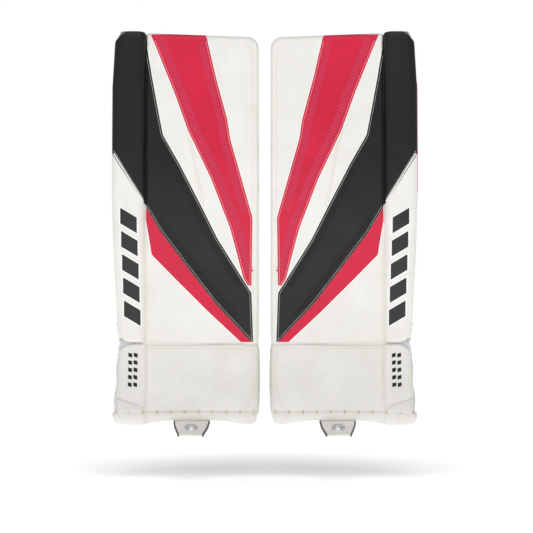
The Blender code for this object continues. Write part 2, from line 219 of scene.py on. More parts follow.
def woven_nylon(name, code, thread_code, pitch_mm, depth_mm, roughness=0.75, ribs=(1.0, 1.0)):
    """Plain-woven nylon: two crossing sets of round yarns, darker in the gaps between them, with a faint
    sheen. The yarns are drawn coarser than the real 0.5 mm, to show."""
    material, tree, shader = finish(name, {"IOR": 1.53, "Roughness": roughness, "Sheen Weight": 0.08,
                                           "Sheen Roughness": 0.5})
    place = node(tree, "ShaderNodeTexCoord")
    split = node(tree, "ShaderNodeSeparateXYZ", {}, {"Vector": place.outputs["Object"]})
    turns = 2 * math.pi * 1000.0 / pitch_mm
    across = node(tree, "ShaderNodeMath", {"operation": "ADD"},
                  {0: split.outputs["X"], 1: split.outputs["Y"]})
    warp = node(tree, "ShaderNodeMath", {"operation": "MULTIPLY", 1: turns * ribs[0]},
                {0: across.outputs[0]})
    weft = node(tree, "ShaderNodeMath", {"operation": "MULTIPLY", 1: turns * ribs[1]},
                {0: split.outputs["Z"]})
    warp_wave = node(tree, "ShaderNodeMath", {"operation": "SINE"}, {0: warp.outputs[0]})
    weft_wave = node(tree, "ShaderNodeMath", {"operation": "SINE"}, {0: weft.outputs[0]})
    weave = node(tree, "ShaderNodeMath", {"operation": "MULTIPLY"},
                 {0: warp_wave.outputs[0], 1: weft_wave.outputs[0]})
    height = node(tree, "ShaderNodeMapRange", {"From Min": -1.0, "From Max": 1.0},
                  {"Value": weave.outputs[0]})
    two_tone(tree, shader, height.outputs["Result"], code, thread_code)
    bump = node(tree, "ShaderNodeBump", {"Strength": 0.8, "Distance": depth_mm * MM},
                {"Height": height.outputs["Result"]})
    tree.links.new(bump.outputs["Normal"], shader.inputs["Normal"])
    return material


def speckled(name, code, deep_code, roughness, size_mm, depth_mm, extra=None):
    """A solid with a fine mottled surface: cut foam, brushed loop pile, skived plastic, thread or paint."""
    material, tree, shader = finish(name, {"Roughness": roughness, **(extra or {})})
    place = node(tree, "ShaderNodeTexCoord")
    cloud = node(tree, "ShaderNodeTexNoise", {"Scale": 1000.0 / size_mm, "Detail": 5.0, "Roughness": 0.6},
                 {"Vector": place.outputs["Object"]})
    two_tone(tree, shader, cloud.outputs["Fac"], deep_code, code, 0.32, 0.66)
    bump = node(tree, "ShaderNodeBump", {"Strength": 0.6, "Distance": depth_mm * MM},
                {"Height": cloud.outputs["Fac"]})
    tree.links.new(bump.outputs["Normal"], shader.inputs["Normal"])
    return material


WHITE_LEATHER = coated_leather("white_coated_leather", "#F3F1EC", "#EBE9E2", 0.50)
RED_LEATHER = coated_leather("red_coated_leather", "#DA143F", "#CE0F39", 0.48)
BLACK_LEATHER = coated_leather("black_coated_leather", "#0F0F10", "#0B0B0C", 0.46, grain_depth=0.16)
# A pale grey leather whose grey is painted shade, for the sewn patch on the boot's roll
PAINTED_SHADE_LEATHER = coated_leather("painted_shade_grey_leather", "#ECEAE6", "#E4E2DE", 0.55)
NYLON = woven_nylon("black_ballistic_nylon", "#0C0C0D", "#1D1D1F", 1.8, 0.35)
GREY_NYLON = woven_nylon("pale_grey_nylon", "#D6D6DA", "#EDEDF0", 1.6, 0.25)
LINER = woven_nylon("black_spacer_mesh", "#08080A", "#2C2C31", 3.2, 0.9, 0.85)
WEBBING = woven_nylon("black_ribbed_webbing", "#0D0D0F", "#2E2E31", 2.4, 0.5, 0.65, ribs=(0.35, 1.6))
BINDING = woven_nylon("black_binding_tape", "#141416", "#242427", 1.4, 0.2, 0.7)
LOOP_PILE = speckled("grey_loop_pile", "#5A5B5F", "#3C3D41", 0.95, 0.9, 0.5, {"Sheen Weight": 0.5})
FOAM = speckled("cut_grey_foam", "#8B8D92", "#74767B", 0.95, 1.6, 0.4)
PLASTIC_SHEET = speckled("skived_polyethylene", "#DDE2DE", "#CBD1CD", 0.35, 9.0, 0.05, {"IOR": 1.51})
EDGE_PAINT = speckled("black_edge_paint", "#161616", "#0E0E0E", 0.35, 3.0, 0.15)
WHITE_THREAD = speckled("white_polyester_thread", "#F5F3EE", "#DAD8D2", 0.55, 0.6, 0.1, {"Sheen Weight": 0.3})
SEAM_THREAD = speckled("warm_white_thread", "#E2DCCB", "#D4CCB8", 0.6, 0.6, 0.1)
CREAM_THREAD = speckled("waxed_cream_lace", "#E4D8BC", "#CDBB94", 0.5, 0.8, 0.1)
PALE_PIPING = speckled("bright_white_edging", "#FFFFFF", "#F6F6F4", 0.45, 2.0, 0.05)
PRINT_RED = speckled("matt_red_print", "#CF355A", "#C83054", 0.7, 1.2, 0.03)
PRINT_BLACK_ON_BLACK = speckled("matt_black_print", "#1A1A1B", "#151516", 0.85, 1.2, 0.03)
MARK_BLACK = speckled("black_film", "#141415", "#0F0F10", 0.38, 2.5, 0.04)
MARK_WHITE = speckled("white_film", "#FFFFFF", "#F8F8F6", 0.38, 2.5, 0.04)
CHROME = speckled("chromed_brass", "#DEDFE3", "#B4B6BC", 0.34, 6.0, 0.05, {"Metallic": 1.0})


# ---------------------------------------------------------------- surfaces

def rounded(distance, radius):
    """How far a surface has fallen away at this distance from its rounded edge."""
    if distance >= radius:
        return 0.0
    short = radius - max(distance, 0.0)
    return radius - math.sqrt(radius**2 - short**2)


def groove(distance, width, depth):
    """The depth of a sewn channel at this distance from its middle."""
    return depth * math.exp(-((distance / width) ** 2))


def pucker(x, z, amount, size, seed=0.0):
    """A smooth random height, for leather pulled over foam."""
    return amount * noise.noise(Vector((x / size, z / size, seed)))


FACE_SEAM = 21 * MM  # from the plane between the pads to the seam beside the face's inner edge
TOP_CORNER = 20 * MM
TOP_CROWN = 4.5 * MM  # how far the leather stands up over the face's shell
TOP_RISE = 7.5 * MM  # how much higher the top edge is at the gutter than at the inner side


def face_top(x):
    """Height of the face's top edge, which falls to the inner side and round its corner."""
    rise = TOP_RISE * (x - INNER) / (GUTTER - INNER)
    return FACE_TOP + TOP_CROWN + rise - rounded(x - INNER, TOP_CORNER)


def shin_y(x, z):
    """The leather's place on the face of thigh and shin."""
    y = smooth(SHIN_PROFILE, z)
    y += rounded(GUTTER - x, 5 * MM) + rounded(x - INNER, 9 * MM)
    y += rounded(face_top(x) - z, 9 * MM) + 0.8 * rounded(z - FACE_BOTTOM, 3.5 * MM)
    across = (x - INNER) / (GUTTER - INNER)
    y -= 1.6 * MM * max(0.0, 4 * across * (1 - across))
    y += groove(x - FACE_SEAM, 2.2 * MM, 1.3 * MM)
    y += pucker(x, z, 0.9 * MM, 60 * MM) + pucker(x, z, 0.25 * MM, 17 * MM, 3.0)
    return y


BOOT_SEAM = [(z * MM, x * MM) for z, x in ((40, 42), (58, 34), (76, 27), (113, 23), (172, 25))]


def boot_y(x, z):
    """The leather's place on the face of the boot."""
    y = smooth(BOOT_PROFILE, z)
    y += rounded(GUTTER - x, 5 * MM) + rounded(x - INNER, 15 * MM)
    y += 0.9 * rounded(BOOT_TOP - z, 4 * MM) + 0.7 * rounded(z - BOOT_BOTTOM, 7 * MM)
    across = (x - INNER) / (GUTTER - INNER)
    up = (z - BOOT_BOTTOM) / (BOOT_TOP - BOOT_BOTTOM)
    y -= 4.5 * MM * max(0.0, 16 * across * (1 - across) * up * (1 - up)) ** 0.7
    y += groove(x - smooth(BOOT_SEAM, z), 2.2 * MM, 1.5 * MM)
    y += pucker(x, z, 1.0 * MM, 45 * MM, 7.0) + pucker(x, z, 0.3 * MM, 14 * MM, 9.0)
    return y


def roll_outer(z):
    return straight(OUTER_SIDE, z)


def roll_y(x, z):
    """The leather's place on the front of the outer roll."""
    out = roll_outer(z)
    y = smooth(SHIN_PROFILE, z) - ROLL_PROUD
    y += rounded(out - x, 15 * MM) + rounded(x - ROLL_INNER, 13 * MM)
    middle = (ROLL_INNER + out) / 2
    y += 1.5 * MM * ((x - middle) / 30 / MM) ** 2 - 1.5 * MM
    y += pucker(x, z, 0.8 * MM, 55 * MM, 5.0) + pucker(x, z, 0.2 * MM, 15 * MM, 6.0)
    return y


def boot_roll_outer(z):
    return straight(BOOT_OUTER, z) + 1.5 * MM


def boot_roll_y(x, z):
    """The leather's place on the front of the boot's roll."""
    out = boot_roll_outer(z)
    y = smooth(BOOT_PROFILE, z) - ROLL_PROUD
    y += rounded(out - x, 13 * MM) + rounded(x - ROLL_INNER, 9 * MM)
    y += 0.5 * rounded(z - BOOT_BOTTOM, 6 * MM)
    y += pucker(x, z, 0.8 * MM, 40 * MM, 11.0)
    return y


def shin_back(z):
    """The back of the shin's foam."""
    return straight(SHIN_BACK, z)


def boot_back(z):
    return smooth(BOOT_PROFILE, z) + BOOT_DEPTH - 0.3 * MM


def corner_drop(to_edge, reach, drop):
    """How far a roll's end is cut back towards its outer edge, over this reach."""
    return drop * max(0.0, 1 - to_edge / reach) ** 1.5


# ---------------------------------------------------------------- making meshes

def spaced(start, end, count):
    return [start + (end - start) * i / (count - 1) for i in range(count)]


def eased(start, end, count):
    """Places from start to end, close together at both ends."""
    return [start + (end - start) * (1 - math.cos(math.pi * i / (count - 1))) / 2 for i in range(count)]


def grid(across, heights, point):
    """Columns of points for Pad.sheet, point(a, z) being one of them."""
    return [[point(a, z) for z in heights] for a in across]


def way_along(points, i):
    """The direction of a polyline at its point i."""
    return (points[min(i + 1, len(points) - 1)] - points[max(i - 1, 0)]).normalized()


def resampled(points, pitch):
    """Points a pitch apart along a polyline."""
    points = [Vector(p) for p in points]
    lengths = [(b - a).length for a, b in zip(points, points[1:])]
    count = max(2, round(sum(lengths) / pitch) + 1)
    found, i, before = [], 0, 0.0
    for k in range(count):
        goal = sum(lengths) * k / (count - 1)
        while i < len(lengths) - 1 and goal > before + lengths[i]:
            before += lengths[i]
            i += 1
        found.append(points[i].lerp(points[i + 1], (goal - before) / lengths[i] if lengths[i] else 0.0))
    return found


def curved(points, steps=6):
    """A smooth curve through 2D points, as a list with a few steps for each stretch."""
    found = []
    ends = [points[0], *points, points[-1]]
    for i in range(1, len(ends) - 2):
        a, b, c, d = (Vector(p) for p in ends[i - 1 : i + 3])
        for k in range(steps):
            t = k / steps
            found.append(0.5 * (2 * b + (c - a) * t + (2 * a - 5 * b + 4 * c - d) * t**2
                                + (3 * b - a - 3 * c + d) * t**3))
    found.append(Vector(points[-1]))
    return found


BOX_FACES = ((0, 1, 2, 3), (7, 6, 5, 4), (0, 4, 5, 1), (1, 5, 6, 2), (2, 6, 7, 3), (3, 7, 4, 0))


class Pad:
    """One pad of the pair, -1 for the right leg and +1 for the left, with the names of its bodies."""

    def __init__(self, side, prefix):
        self.side = side
        self.prefix = prefix
        self.shin = f"{prefix}_shin"
        self.boot = f"{prefix}_boot"
        self.toe_tab = f"{prefix}_toe_tab"

    def place(self, point):
        return Vector((self.side * point[0], point[1], point[2]))

    def piece(self, name, vertices, faces, material, body, slot, replaces=(), closed=True, crease=45):
        """A mesh object from points in pad coordinates, riding on a body. A closed one gets its faces turned
        out, and edges sharper than crease degrees stay sharp."""
        mesh = bpy.data.meshes.new(f"{self.prefix}_{name}_skin")
        mesh.from_pydata([self.place(v) for v in vertices], [], faces)
        if closed:
            maker = bmesh.new()
            maker.from_mesh(mesh)
            bmesh.ops.recalc_face_normals(maker, faces=maker.faces)
            maker.to_mesh(mesh)
            maker.free()
        elif self.side < 0:
            mesh.flip_normals()
        mesh.shade_smooth()
        mesh.set_sharp_from_angle(angle=math.radians(crease))
        mesh.materials.append(material)
        made = bpy.data.objects.new(f"{self.prefix}_{name}", mesh)
        bpy.context.scene.collection.objects.link(made)
        if body:
            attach(made, body)
        if replaces:
            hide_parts(*[f"{self.prefix}_{node_name}" for node_name in replaces])
        return made

    def sheet(self, name, columns, material, body, slot, thickness=1.2 * MM, replaces=()):
        """A sheet through columns of points that run upward, the columns going from the outer side inward
        across the front. It is thickened away from its outer face into one closed skin."""
        rows, count = len(columns[0]), len(columns)
        vertices = [p for column in columns for p in column]
        faces = []
        for i in range(count - 1):
            for j in range(rows - 1):
                a = i * rows + j
                faces.append((a, a + 1, a + rows + 1, a + rows))
        made = self.piece(name, vertices, faces, material, body, slot, replaces, closed=False)
        solid = made.modifiers.new("thickness", "SOLIDIFY")
        solid.thickness = thickness
        solid.offset = -1
        solid.use_even_offset = False
        return made

    def loft(self, name, rings, material, body, slot, replaces=(), crease=45):
        """A closed solid through rings of points, whose end rings are filled."""
        count = len(rings[0])
        vertices = [p for ring in rings for p in ring]
        faces = []
        for r in range(len(rings) - 1):
            for i in range(count):
                j = (i + 1) % count
                low, high = r * count, (r + 1) * count
                faces.append((low + i, low + j, high + j, high + i))
        faces.append(tuple(range(count))[::-1])
        faces.append(tuple(range((len(rings) - 1) * count, len(rings) * count)))
        return self.piece(name, vertices, faces, material, body, slot, replaces, crease=crease)

    def stitches(self, name, paths, width, material, body, slot, gap=0.30, lift=0.25 * MM):
        """Lines of stitches along paths of (point, way out of the surface) pairs: short capsules, pressed
        into the leather at their ends, all in one object."""
        vertices, faces = [], []
        sides, profile = 6, ((0.0, 0.2), (0.16, 0.85), (0.5, 1.0), (0.84, 0.85), (1.0, 0.2))
        for path in paths:
            for (start, out), (end, _) in zip(path, path[1:]):
                start, end, out = Vector(start), Vector(end), Vector(out).normalized()
                way = end - start
                side_way = way.cross(out).normalized()
                first = len(vertices)
                for t, swell in profile:
                    middle = start + way * (gap / 2 + t * (1 - gap)) + out * lift * math.sin(math.pi * t)
                    for k in range(sides):
                        angle = 2 * math.pi * k / sides
                        spoke = side_way * math.cos(angle) + out * math.sin(angle) * 0.8
                        vertices.append(middle + spoke * width / 2 * swell)
                for r in range(len(profile) - 1):
                    for k in range(sides):
                        a, b = first + r * sides + k, first + r * sides + (k + 1) % sides
                        faces.append((a, b, b + sides, a + sides))
                last = first + (len(profile) - 1) * sides
                faces.append(tuple(range(first, first + sides))[::-1])
                faces.append(tuple(range(last, last + sides)))
        return self.piece(name, vertices, faces, material, body, slot, crease=80)


def on_surface(line, surface, lift, pitch):
    """A path of points on a surface y(x, z) along a line of (x, z) points, with the way out at each."""
    step = 1.5 * MM
    path = []
    for x, z in resampled(line, pitch):
        y = surface(x, z)
        out = Vector((
            (surface(x + step, z) - surface(x - step, z)) / (2 * step), -1.0,
            (surface(x, z + step) - surface(x, z - step)) / (2 * step),
        )).normalized()
        path.append(((x, y - lift, z), out))
    return path


def inset_line(line, distance):
    """The line moved sideways by a distance, to its left as it runs (x to the right, z up)."""
    line = [Vector(p) for p in line]
    moved = []
    for i, point in enumerate(line):
        before = (point - line[i - 1]).normalized() if i else (line[1] - point).normalized()
        after = (line[i + 1] - point).normalized() if i < len(line) - 1 else before
        way = (before + after).normalized()
        left = Vector((-way.y, way.x))
        stretch = max(0.5, left.dot(Vector((-before.y, before.x))))
        moved.append(point + left * distance / stretch)
    return moved


def ribbon(pad, name, line, surface, width, thickness, material, body, slot):
    """A narrow raised strip laid on a surface along a line of (x, z) points, its line along its middle."""
    points = [Vector(p) for p in resampled(line, 4 * MM)]
    rings = []
    for i, point in enumerate(points):
        way = way_along(points, i)
        left = Vector((-way.y, way.x))
        ring = []
        for across, up in ((-0.5, -0.3), (-0.42, 0.8), (0.0, 1.0), (0.42, 0.8), (0.5, -0.3)):
            spot = point + left * width * across
            ring.append((spot.x, surface(spot.x, spot.y) - thickness * up, spot.y))
        rings.append(ring)
    return pad.loft(name, rings, material, body, slot)


# ---------------------------------------------------------------- the face of thigh and shin

def arc_places(start, end, radius, count=7):
    """Places from a rounded edge at start inward by one radius."""
    sign = 1 if end > start else -1
    return [start + sign * radius * (1 - math.cos(math.pi / 2 * i / count)) for i in range(count)]


def make_face(pad):
    across = arc_places(GUTTER, INNER, 5 * MM) + spaced(GUTTER - 5 * MM, INNER + 13 * MM, 44)
    across += arc_places(INNER, GUTTER, 13 * MM, 9)[::-1]
    shares = [0.0, 0.002, 0.005, 0.010] + spaced(0.016, 0.982, 120) + [0.988, 0.9925, 0.996, 0.9985, 1.0]

    def column(x, depth=None):
        top = face_top(x)
        points = []
        for share in shares:
            z = FACE_BOTTOM + share * (top - FACE_BOTTOM)
            front = shin_y(x, z)
            y = front if depth is None else front + depth * (shin_back(z) - front)
            rise = 0.10 * (y - smooth(SHIN_PROFILE, z)) * (1 - share) ** 12
            points.append((x, y, z + rise))
        return points

    columns = [[(x, y + 20 * MM, z) for x, y, z in column(GUTTER)]]
    columns += [column(x) for x in across]
    columns += [column(INNER, depth) for depth in (0.1, 0.25, 0.45, 0.65, 0.85, 1.0)]
    face = pad.sheet("face_leather", columns, WHITE_LEATHER, pad.shin, "white_leather", SKIN, ("face_shell",))

    # The closing panel over the top, from front edge to back
    top_columns = []
    for x in across:
        top = face_top(x) - 0.2 * MM
        front, back = shin_y(x, top), shin_back(min(top, 0.735))
        top_columns.append([
            (x, front + share * (back - front), top + 1.8 * MM * math.sin(math.pi * share) ** 0.6 - 1.2 * MM)
            for share in (0.0, 0.04, 0.1, 0.25, 0.5, 0.75, 0.9, 1.0)
        ])
    pad.sheet("top_panel", top_columns, WHITE_LEATHER, pad.shin, "white_leather", SKIN)

    # The corner dart, the inner edge seam and the thigh seam, each with small tone-on-tone stitches
    dart = curved([(x * MM, z * MM) for x, z in ((39.4, 740), (33, 728), (26, 715), (21.5, 699))])
    break_line = [(x * MM, z * MM) for x, z in ((34, 175), (120, 173.6), (214, 174.6))]
    inner_edge = [(FACE_SEAM + 0.5 * MM, z * MM) for z in (186, 300, 450, 600, 706)]
    thigh_seam = [(146 * MM, 584 * MM), (128 * MM, 500 * MM), (115 * MM, 428 * MM)]
    lines = [
        on_surface(dart, shin_y, 0.2 * MM, 4 * MM),
        on_surface(inner_edge, shin_y, 0.2 * MM, 4 * MM),
        on_surface(inset_line(thigh_seam, 2 * MM), shin_y, 0.2 * MM, 4 * MM),
        on_surface(inset_line(thigh_seam, -2 * MM), shin_y, 0.2 * MM, 4 * MM),
        on_surface(break_line, shin_y, 0.2 * MM, 4 * MM),
    ]
    pad.stitches("face_seam_stitches", lines, 0.8 * MM, SEAM_THREAD, pad.shin, "white_leather",
                 lift=0.15 * MM)
    for name, line, width in (
        ("thigh_seam_fold", thigh_seam, 2.2 * MM), ("corner_dart_fold", dart, 2.0 * MM),
    ):
        ribbon(pad, name, line, shin_y, width, 0.5 * MM, WHITE_LEATHER, pad.shin, "white_leather")


# ---------------------------------------------------------------- coloured panels

def band_edges(name):
    """The two edges of a coloured panel, from its CAD solid: (height, distance outward), inner then outer."""
    rows = node_rows(f"left_{name}")
    return [(z, v[0]) for z, v in rows], [(z, v[1]) for z, v in rows]


BAND_LIFT = 1.3 * MM


def band_surface(x, z):
    return shin_y(x, z) - BAND_LIFT


def make_band(pad, name, material, slot, edges):
    """A leather panel laid on the face, its cut edges pressed down to the face by the stitching."""
    inner, outer = edges
    low, high = inner[0][0], inner[-1][0]
    if high > FACE_TOP - 5 * MM:
        high = face_top(GUTTER)
    heights = sorted(set([z for z, _ in inner] + spaced(low, high, max(8, round((high - low) / (4 * MM))))))
    count = 30
    columns = []
    for i in range(count):
        share = (1 - math.cos(math.pi * i / (count - 1))) / 2
        column = []
        for z in heights:
            right, left = straight(inner, z), straight(outer, z)
            x = left + (right - left) * share
            to_edge = min(x - right, left - x, (z - low) + 1 * MM, (high - z) + 1 * MM)
            rise = BAND_LIFT * min(1.0, 0.45 + max(0.0, to_edge) / (2.5 * MM))
            z = min(z, face_top(x) + 0.3 * MM)
            column.append((x, shin_y(x, z) - rise, z))
        columns.append(column)
    return pad.sheet(name, columns, material, pad.shin, slot, 1.0 * MM, (name,))


def line_of(edge, low=0.0, high=1.0):
    """An edge table as (x, z) points going up, cut to between two heights."""
    low, high = max(low, edge[0][0]), min(high, edge[-1][0])
    inside = [(x, z) for z, x in edge if low < z < high]
    return [(straight(edge, low), low), *inside, (straight(edge, high), high)]


def hatch(pad, name, edge, low, high, inset, length, pitch, share, toward, material, slot):
    """A ladder of small matt printed bars along an edge, square to it."""
    vertices, faces = [], []
    points = resampled(inset_line(line_of(edge, low, high), toward * inset), pitch)
    for a, b in zip(points, points[1:]):
        way = (b - a).normalized()
        reach = Vector((-way.y, way.x)) * toward * length
        start, end = (a + b) / 2 - way * pitch * share / 2, (a + b) / 2 + way * pitch * share / 2
        corners = [start, end, end + reach, start + reach]
        first = len(vertices)
        for lift in (0.05 * MM, 0.28 * MM):
            for c in corners:
                vertices.append((c.x, band_surface(c.x, c.y) - lift, c.y))
        faces += [tuple(first + i for i in quad) for quad in BOX_FACES]
    return pad.piece(name, vertices, faces, material, pad.shin, slot, crease=20)


def make_bands(pad):
    black, red_low, red_high = (band_edges(n) for n in ("black_band", "red_lower_band", "red_upper_band"))
    make_band(pad, "black_band", BLACK_LEATHER, "black_leather", black)
    make_band(pad, "red_lower_band", RED_LEATHER, "red_leather", red_low)
    make_band(pad, "red_upper_band", RED_LEATHER, "red_leather", red_high)

    # White topstitching a little inside the edges
    inside = 3.2 * MM
    paths = []
    for edge, way, top in (
        (black[0], -1, FACE_TOP), (red_high[0], -1, FACE_TOP), (red_high[1], 1, FACE_TOP),
        (black[1], 1, 0.427),
    ):
        line = inset_line(line_of(edge, 0.0, top), way * inside)
        paths.append(on_surface(line, band_surface, 0.15 * MM, 3.6 * MM))
    pad.stitches("band_topstitching", paths, 0.8 * MM, WHITE_THREAD, pad.shin, "white_leather")

    # Bright edging where a coloured panel meets the white face
    for name, edge, way, top in (
        ("black_inner_edging", black[0], 1, 1.0), ("red_upper_inner_edging", red_high[0], 1, 1.0),
        ("red_upper_outer_edging", red_high[1], -1, 1.0), ("red_lower_outer_edging", red_low[1], -1, 0.402),
    ):
        line = inset_line(line_of(edge, 0.0, top), way * 0.8 * MM)
        ribbon(pad, name, line, shin_y, 1.9 * MM, 0.9 * MM, PALE_PIPING, pad.shin, "white_leather")

    # Ladders of printed bars: inset from the edge, length, pitch and share of the pitch that is printed
    for name, edge, low, high, inset, length, pitch, share, toward, material, slot in (
        ("red_outer", red_high[1], 0.30, 0.742, 7, 14, 6.0, 0.6, 1, PRINT_RED, "red_leather"),
        ("red_inner", red_high[0], 0.42, 0.742, 6.5, 12, 4.6, 0.55, -1, PRINT_RED, "red_leather"),
        ("black_inner", black[0], 0.285, 0.50, 7, 10, 4.6, 0.55, -1, PRINT_BLACK_ON_BLACK, "black_leather"),
        ("black_outer", black[1], 0.215, 0.40, 7, 10, 4.6, 0.55, 1, PRINT_BLACK_ON_BLACK, "black_leather"),
    ):
        hatch(pad, f"{name}_hatch", edge, low, high, inset * MM, length * MM, pitch * MM, share, toward,
              material, slot)


# ---------------------------------------------------------------- the outer roll

def outline_places():
    """Where the points of a roll's cross-section lie: (stretch, share along it), once round."""
    places = [("front", (1 - math.cos(math.pi * i / 26)) / 2) for i in range(27)]
    places += [("outer", i / 7) for i in range(1, 7)]
    places += [("outer_corner", i / 4) for i in range(5)]
    places += [("back", i / 4) for i in range(1, 5)]
    return places + [("inner", i / 5) for i in range(1, 5)]


OUTLINE = outline_places()
ROLL_REAR_RADIUS = 8 * MM


def outline_point(place, z, surface, outer, back):
    """A point of a roll's cross-section at height z, from the inner front corner round the outer side."""
    stretch, share = place
    out, rear, radius = outer(z), back(z), ROLL_REAR_RADIUS
    if stretch == "front":
        x = ROLL_INNER + share * (out - ROLL_INNER)
        return x, surface(x, z)
    if stretch == "outer":
        start = surface(out, z)
        return out + 1.2 * MM * math.sin(math.pi * share), start + share * (rear - radius - start)
    if stretch == "outer_corner":
        turn = math.pi / 2 * share
        return out - radius * (1 - math.cos(turn)), rear - radius * (1 - math.sin(turn))
    if stretch == "back":
        return out - radius + share * (ROLL_INNER - out + radius), rear
    start = surface(ROLL_INNER, z)
    return ROLL_INNER, rear + share * (start - rear)


def roll_rings(bottom, top, count, surface, outer, back, ends):
    """Rings up a roll between bottom(x) and top(x), drawn in at each end by a rounded edge of ends' radii."""
    rings = []
    shares = [0.0, 0.004, 0.010, 0.018, 0.028] + spaced(0.04, 0.96, count) + [0.972, 0.982, 0.990, 0.996, 1.0]
    guide = ROLL_INNER + 28 * MM
    for share in shares:
        ring = []
        for place in OUTLINE:
            x, _ = outline_point(place, (bottom(guide) + top(guide)) / 2, surface, outer, back)
            low, high = bottom(x), top(x)
            z = low + share * (high - low)
            x, y = outline_point(place, z, surface, outer, back)
            inset = rounded(z - low, ends[0]) + rounded(high - z, ends[1])
            middle_x = (ROLL_INNER + outer(z)) / 2
            middle_y = (surface(middle_x, z) + back(z)) / 2
            half_x, half_y = (outer(z) - ROLL_INNER) / 2, (back(z) - middle_y)
            ring.append((middle_x + (x - middle_x) * (1 - inset / half_x),
                         middle_y + (y - middle_y) * (1 - inset / half_y), z))
        rings.append(ring)
    return rings


white_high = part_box("left_roll_cover_white")[1][2]
ROLL_SEAM = ((ROLL_INNER, white_high - 100 * MM), (GUTTER + 62.7 * MM, white_high))


def roll_seam(x):
    """Height of the slanted seam between the white and the black roll cover."""
    return straight(ROLL_SEAM, x)


def roll_rear(z):
    return shin_back(z) + 5.8 * MM


def make_roll(pad):
    def roll_top(x):
        return ROLL_TOP - corner_drop(roll_outer(ROLL_TOP) - x, 18 * MM, 9 * MM)

    def roll_bottom(x):
        return ROLL_BOTTOM - 2.5 * MM + corner_drop(roll_outer(ROLL_BOTTOM) - x, 18 * MM, 6 * MM)

    black = roll_rings(lambda x: roll_seam(x) + 0.6 * MM, roll_top, 46, roll_y, roll_outer, roll_rear,
                       (1.6 * MM, 9 * MM))
    white = roll_rings(roll_bottom, lambda x: roll_seam(x) - 0.6 * MM, 46, roll_y, roll_outer, roll_rear,
                       (6 * MM, 1.6 * MM))
    for name, rings, material, slot, node_name in (
        ("roll_black_leather", black, BLACK_LEATHER, "black_leather", "roll_cover_black"),
        ("roll_white_leather", white, WHITE_LEATHER, "white_leather", "roll_cover_white"),
    ):
        pad.loft(name, rings, material, pad.shin, slot, (node_name,))

    right, left = ROLL_INNER + 3 * MM, roll_outer(0.5) - 4 * MM
    seam = [(right, roll_seam(right)), (left, roll_seam(left))]
    above = [(x, z + 5 * MM) for x, z in seam]
    ribbon(pad, "roll_seam_edging", seam, roll_y, 2.4 * MM, 0.9 * MM, PALE_PIPING, pad.shin, "white_leather")
    pad.stitches("roll_seam_stitches", [on_surface(above, roll_y, 0.2 * MM, 3.8 * MM)], 1.0 * MM,
                 WHITE_THREAD, pad.shin, "white_leather")
    cap = [(right, ROLL_TOP - 9 * MM), (left - 3 * MM, ROLL_TOP - 27 * MM)]
    ribbon(pad, "roll_cap_seam", cap, roll_y, 2.2 * MM, 0.7 * MM, BLACK_LEATHER, pad.shin, "black_leather")

    # A row of slanted bars down the roll, in film with a white border
    for name, border, material, slot, lift in (
        ("roll_bar_borders", 2.6 * MM, MARK_WHITE, "white_leather", 0.25 * MM),
        ("roll_bars", 0.0, MARK_BLACK, "black_leather", 0.6 * MM),
    ):
        vertices, faces = [], []
        rows, cells = 10, 12
        for k in range(5):
            base = 214 * MM + k * 43 * MM
            drift = 3.0 * MM * (k - 2) / 2
            across = [ROLL_INNER + 12.5 * MM + drift - border, ROLL_INNER + 43 * MM + drift + border]
            first = len(vertices)
            for thick in (0.0, lift):
                for i in range(cells + 1):
                    x = across[0] + (across[1] - across[0]) * i / cells
                    tilt = 9 * MM * (x - (across[0] + across[1]) / 2) / (15 * MM)
                    for j in range(rows + 1):
                        z = base + tilt - border + (29 * MM + 2 * border) * j / rows
                        vertices.append((x, roll_y(x, z) - thick + 0.05 * MM, z))
            layer = (cells + 1) * (rows + 1)
            step = rows + 1
            for i in range(cells):
                for j in range(rows):
                    a = first + i * step + j
                    faces.append((a, a + 1, a + step + 1, a + step))
                    faces.append((a + layer, a + layer + step, a + layer + step + 1, a + layer + 1))
            rim = [i * step for i in range(cells + 1)] + [cells * step + j for j in range(1, rows + 1)]
            rim += [i * step + rows for i in range(cells - 1, -1, -1)] + list(range(rows - 1, 0, -1))
            for a, b in zip(rim, rim[1:] + rim[:1]):
                faces.append((first + a, first + b, first + b + layer, first + a + layer))
        pad.piece(name, vertices, faces, material, pad.shin, slot, crease=30)

    # The coloured panel on the roll's outer side, fuller on the left pad
    bulge = 1.9 * MM if pad.prefix == "left" else 0.4 * MM

    def panel_point(share, z):
        out = roll_outer(z)
        start, end = roll_y(out, z) + 7 * MM, roll_rear(z) - 12 * MM
        return out + bulge * math.sin(math.pi * share) + 0.4 * MM, end + (start - end) * share, z

    columns = grid(spaced(0.0, 1.0, 14), spaced(455 * MM, 660 * MM, 40), panel_point)
    pad.sheet("roll_side_panel", columns, RED_LEATHER, pad.shin, "red_leather", 1.0 * MM)


# ---------------------------------------------------------------- the boot

def boot_roll_rear(z):
    return boot_back(z) + 2.8 * MM


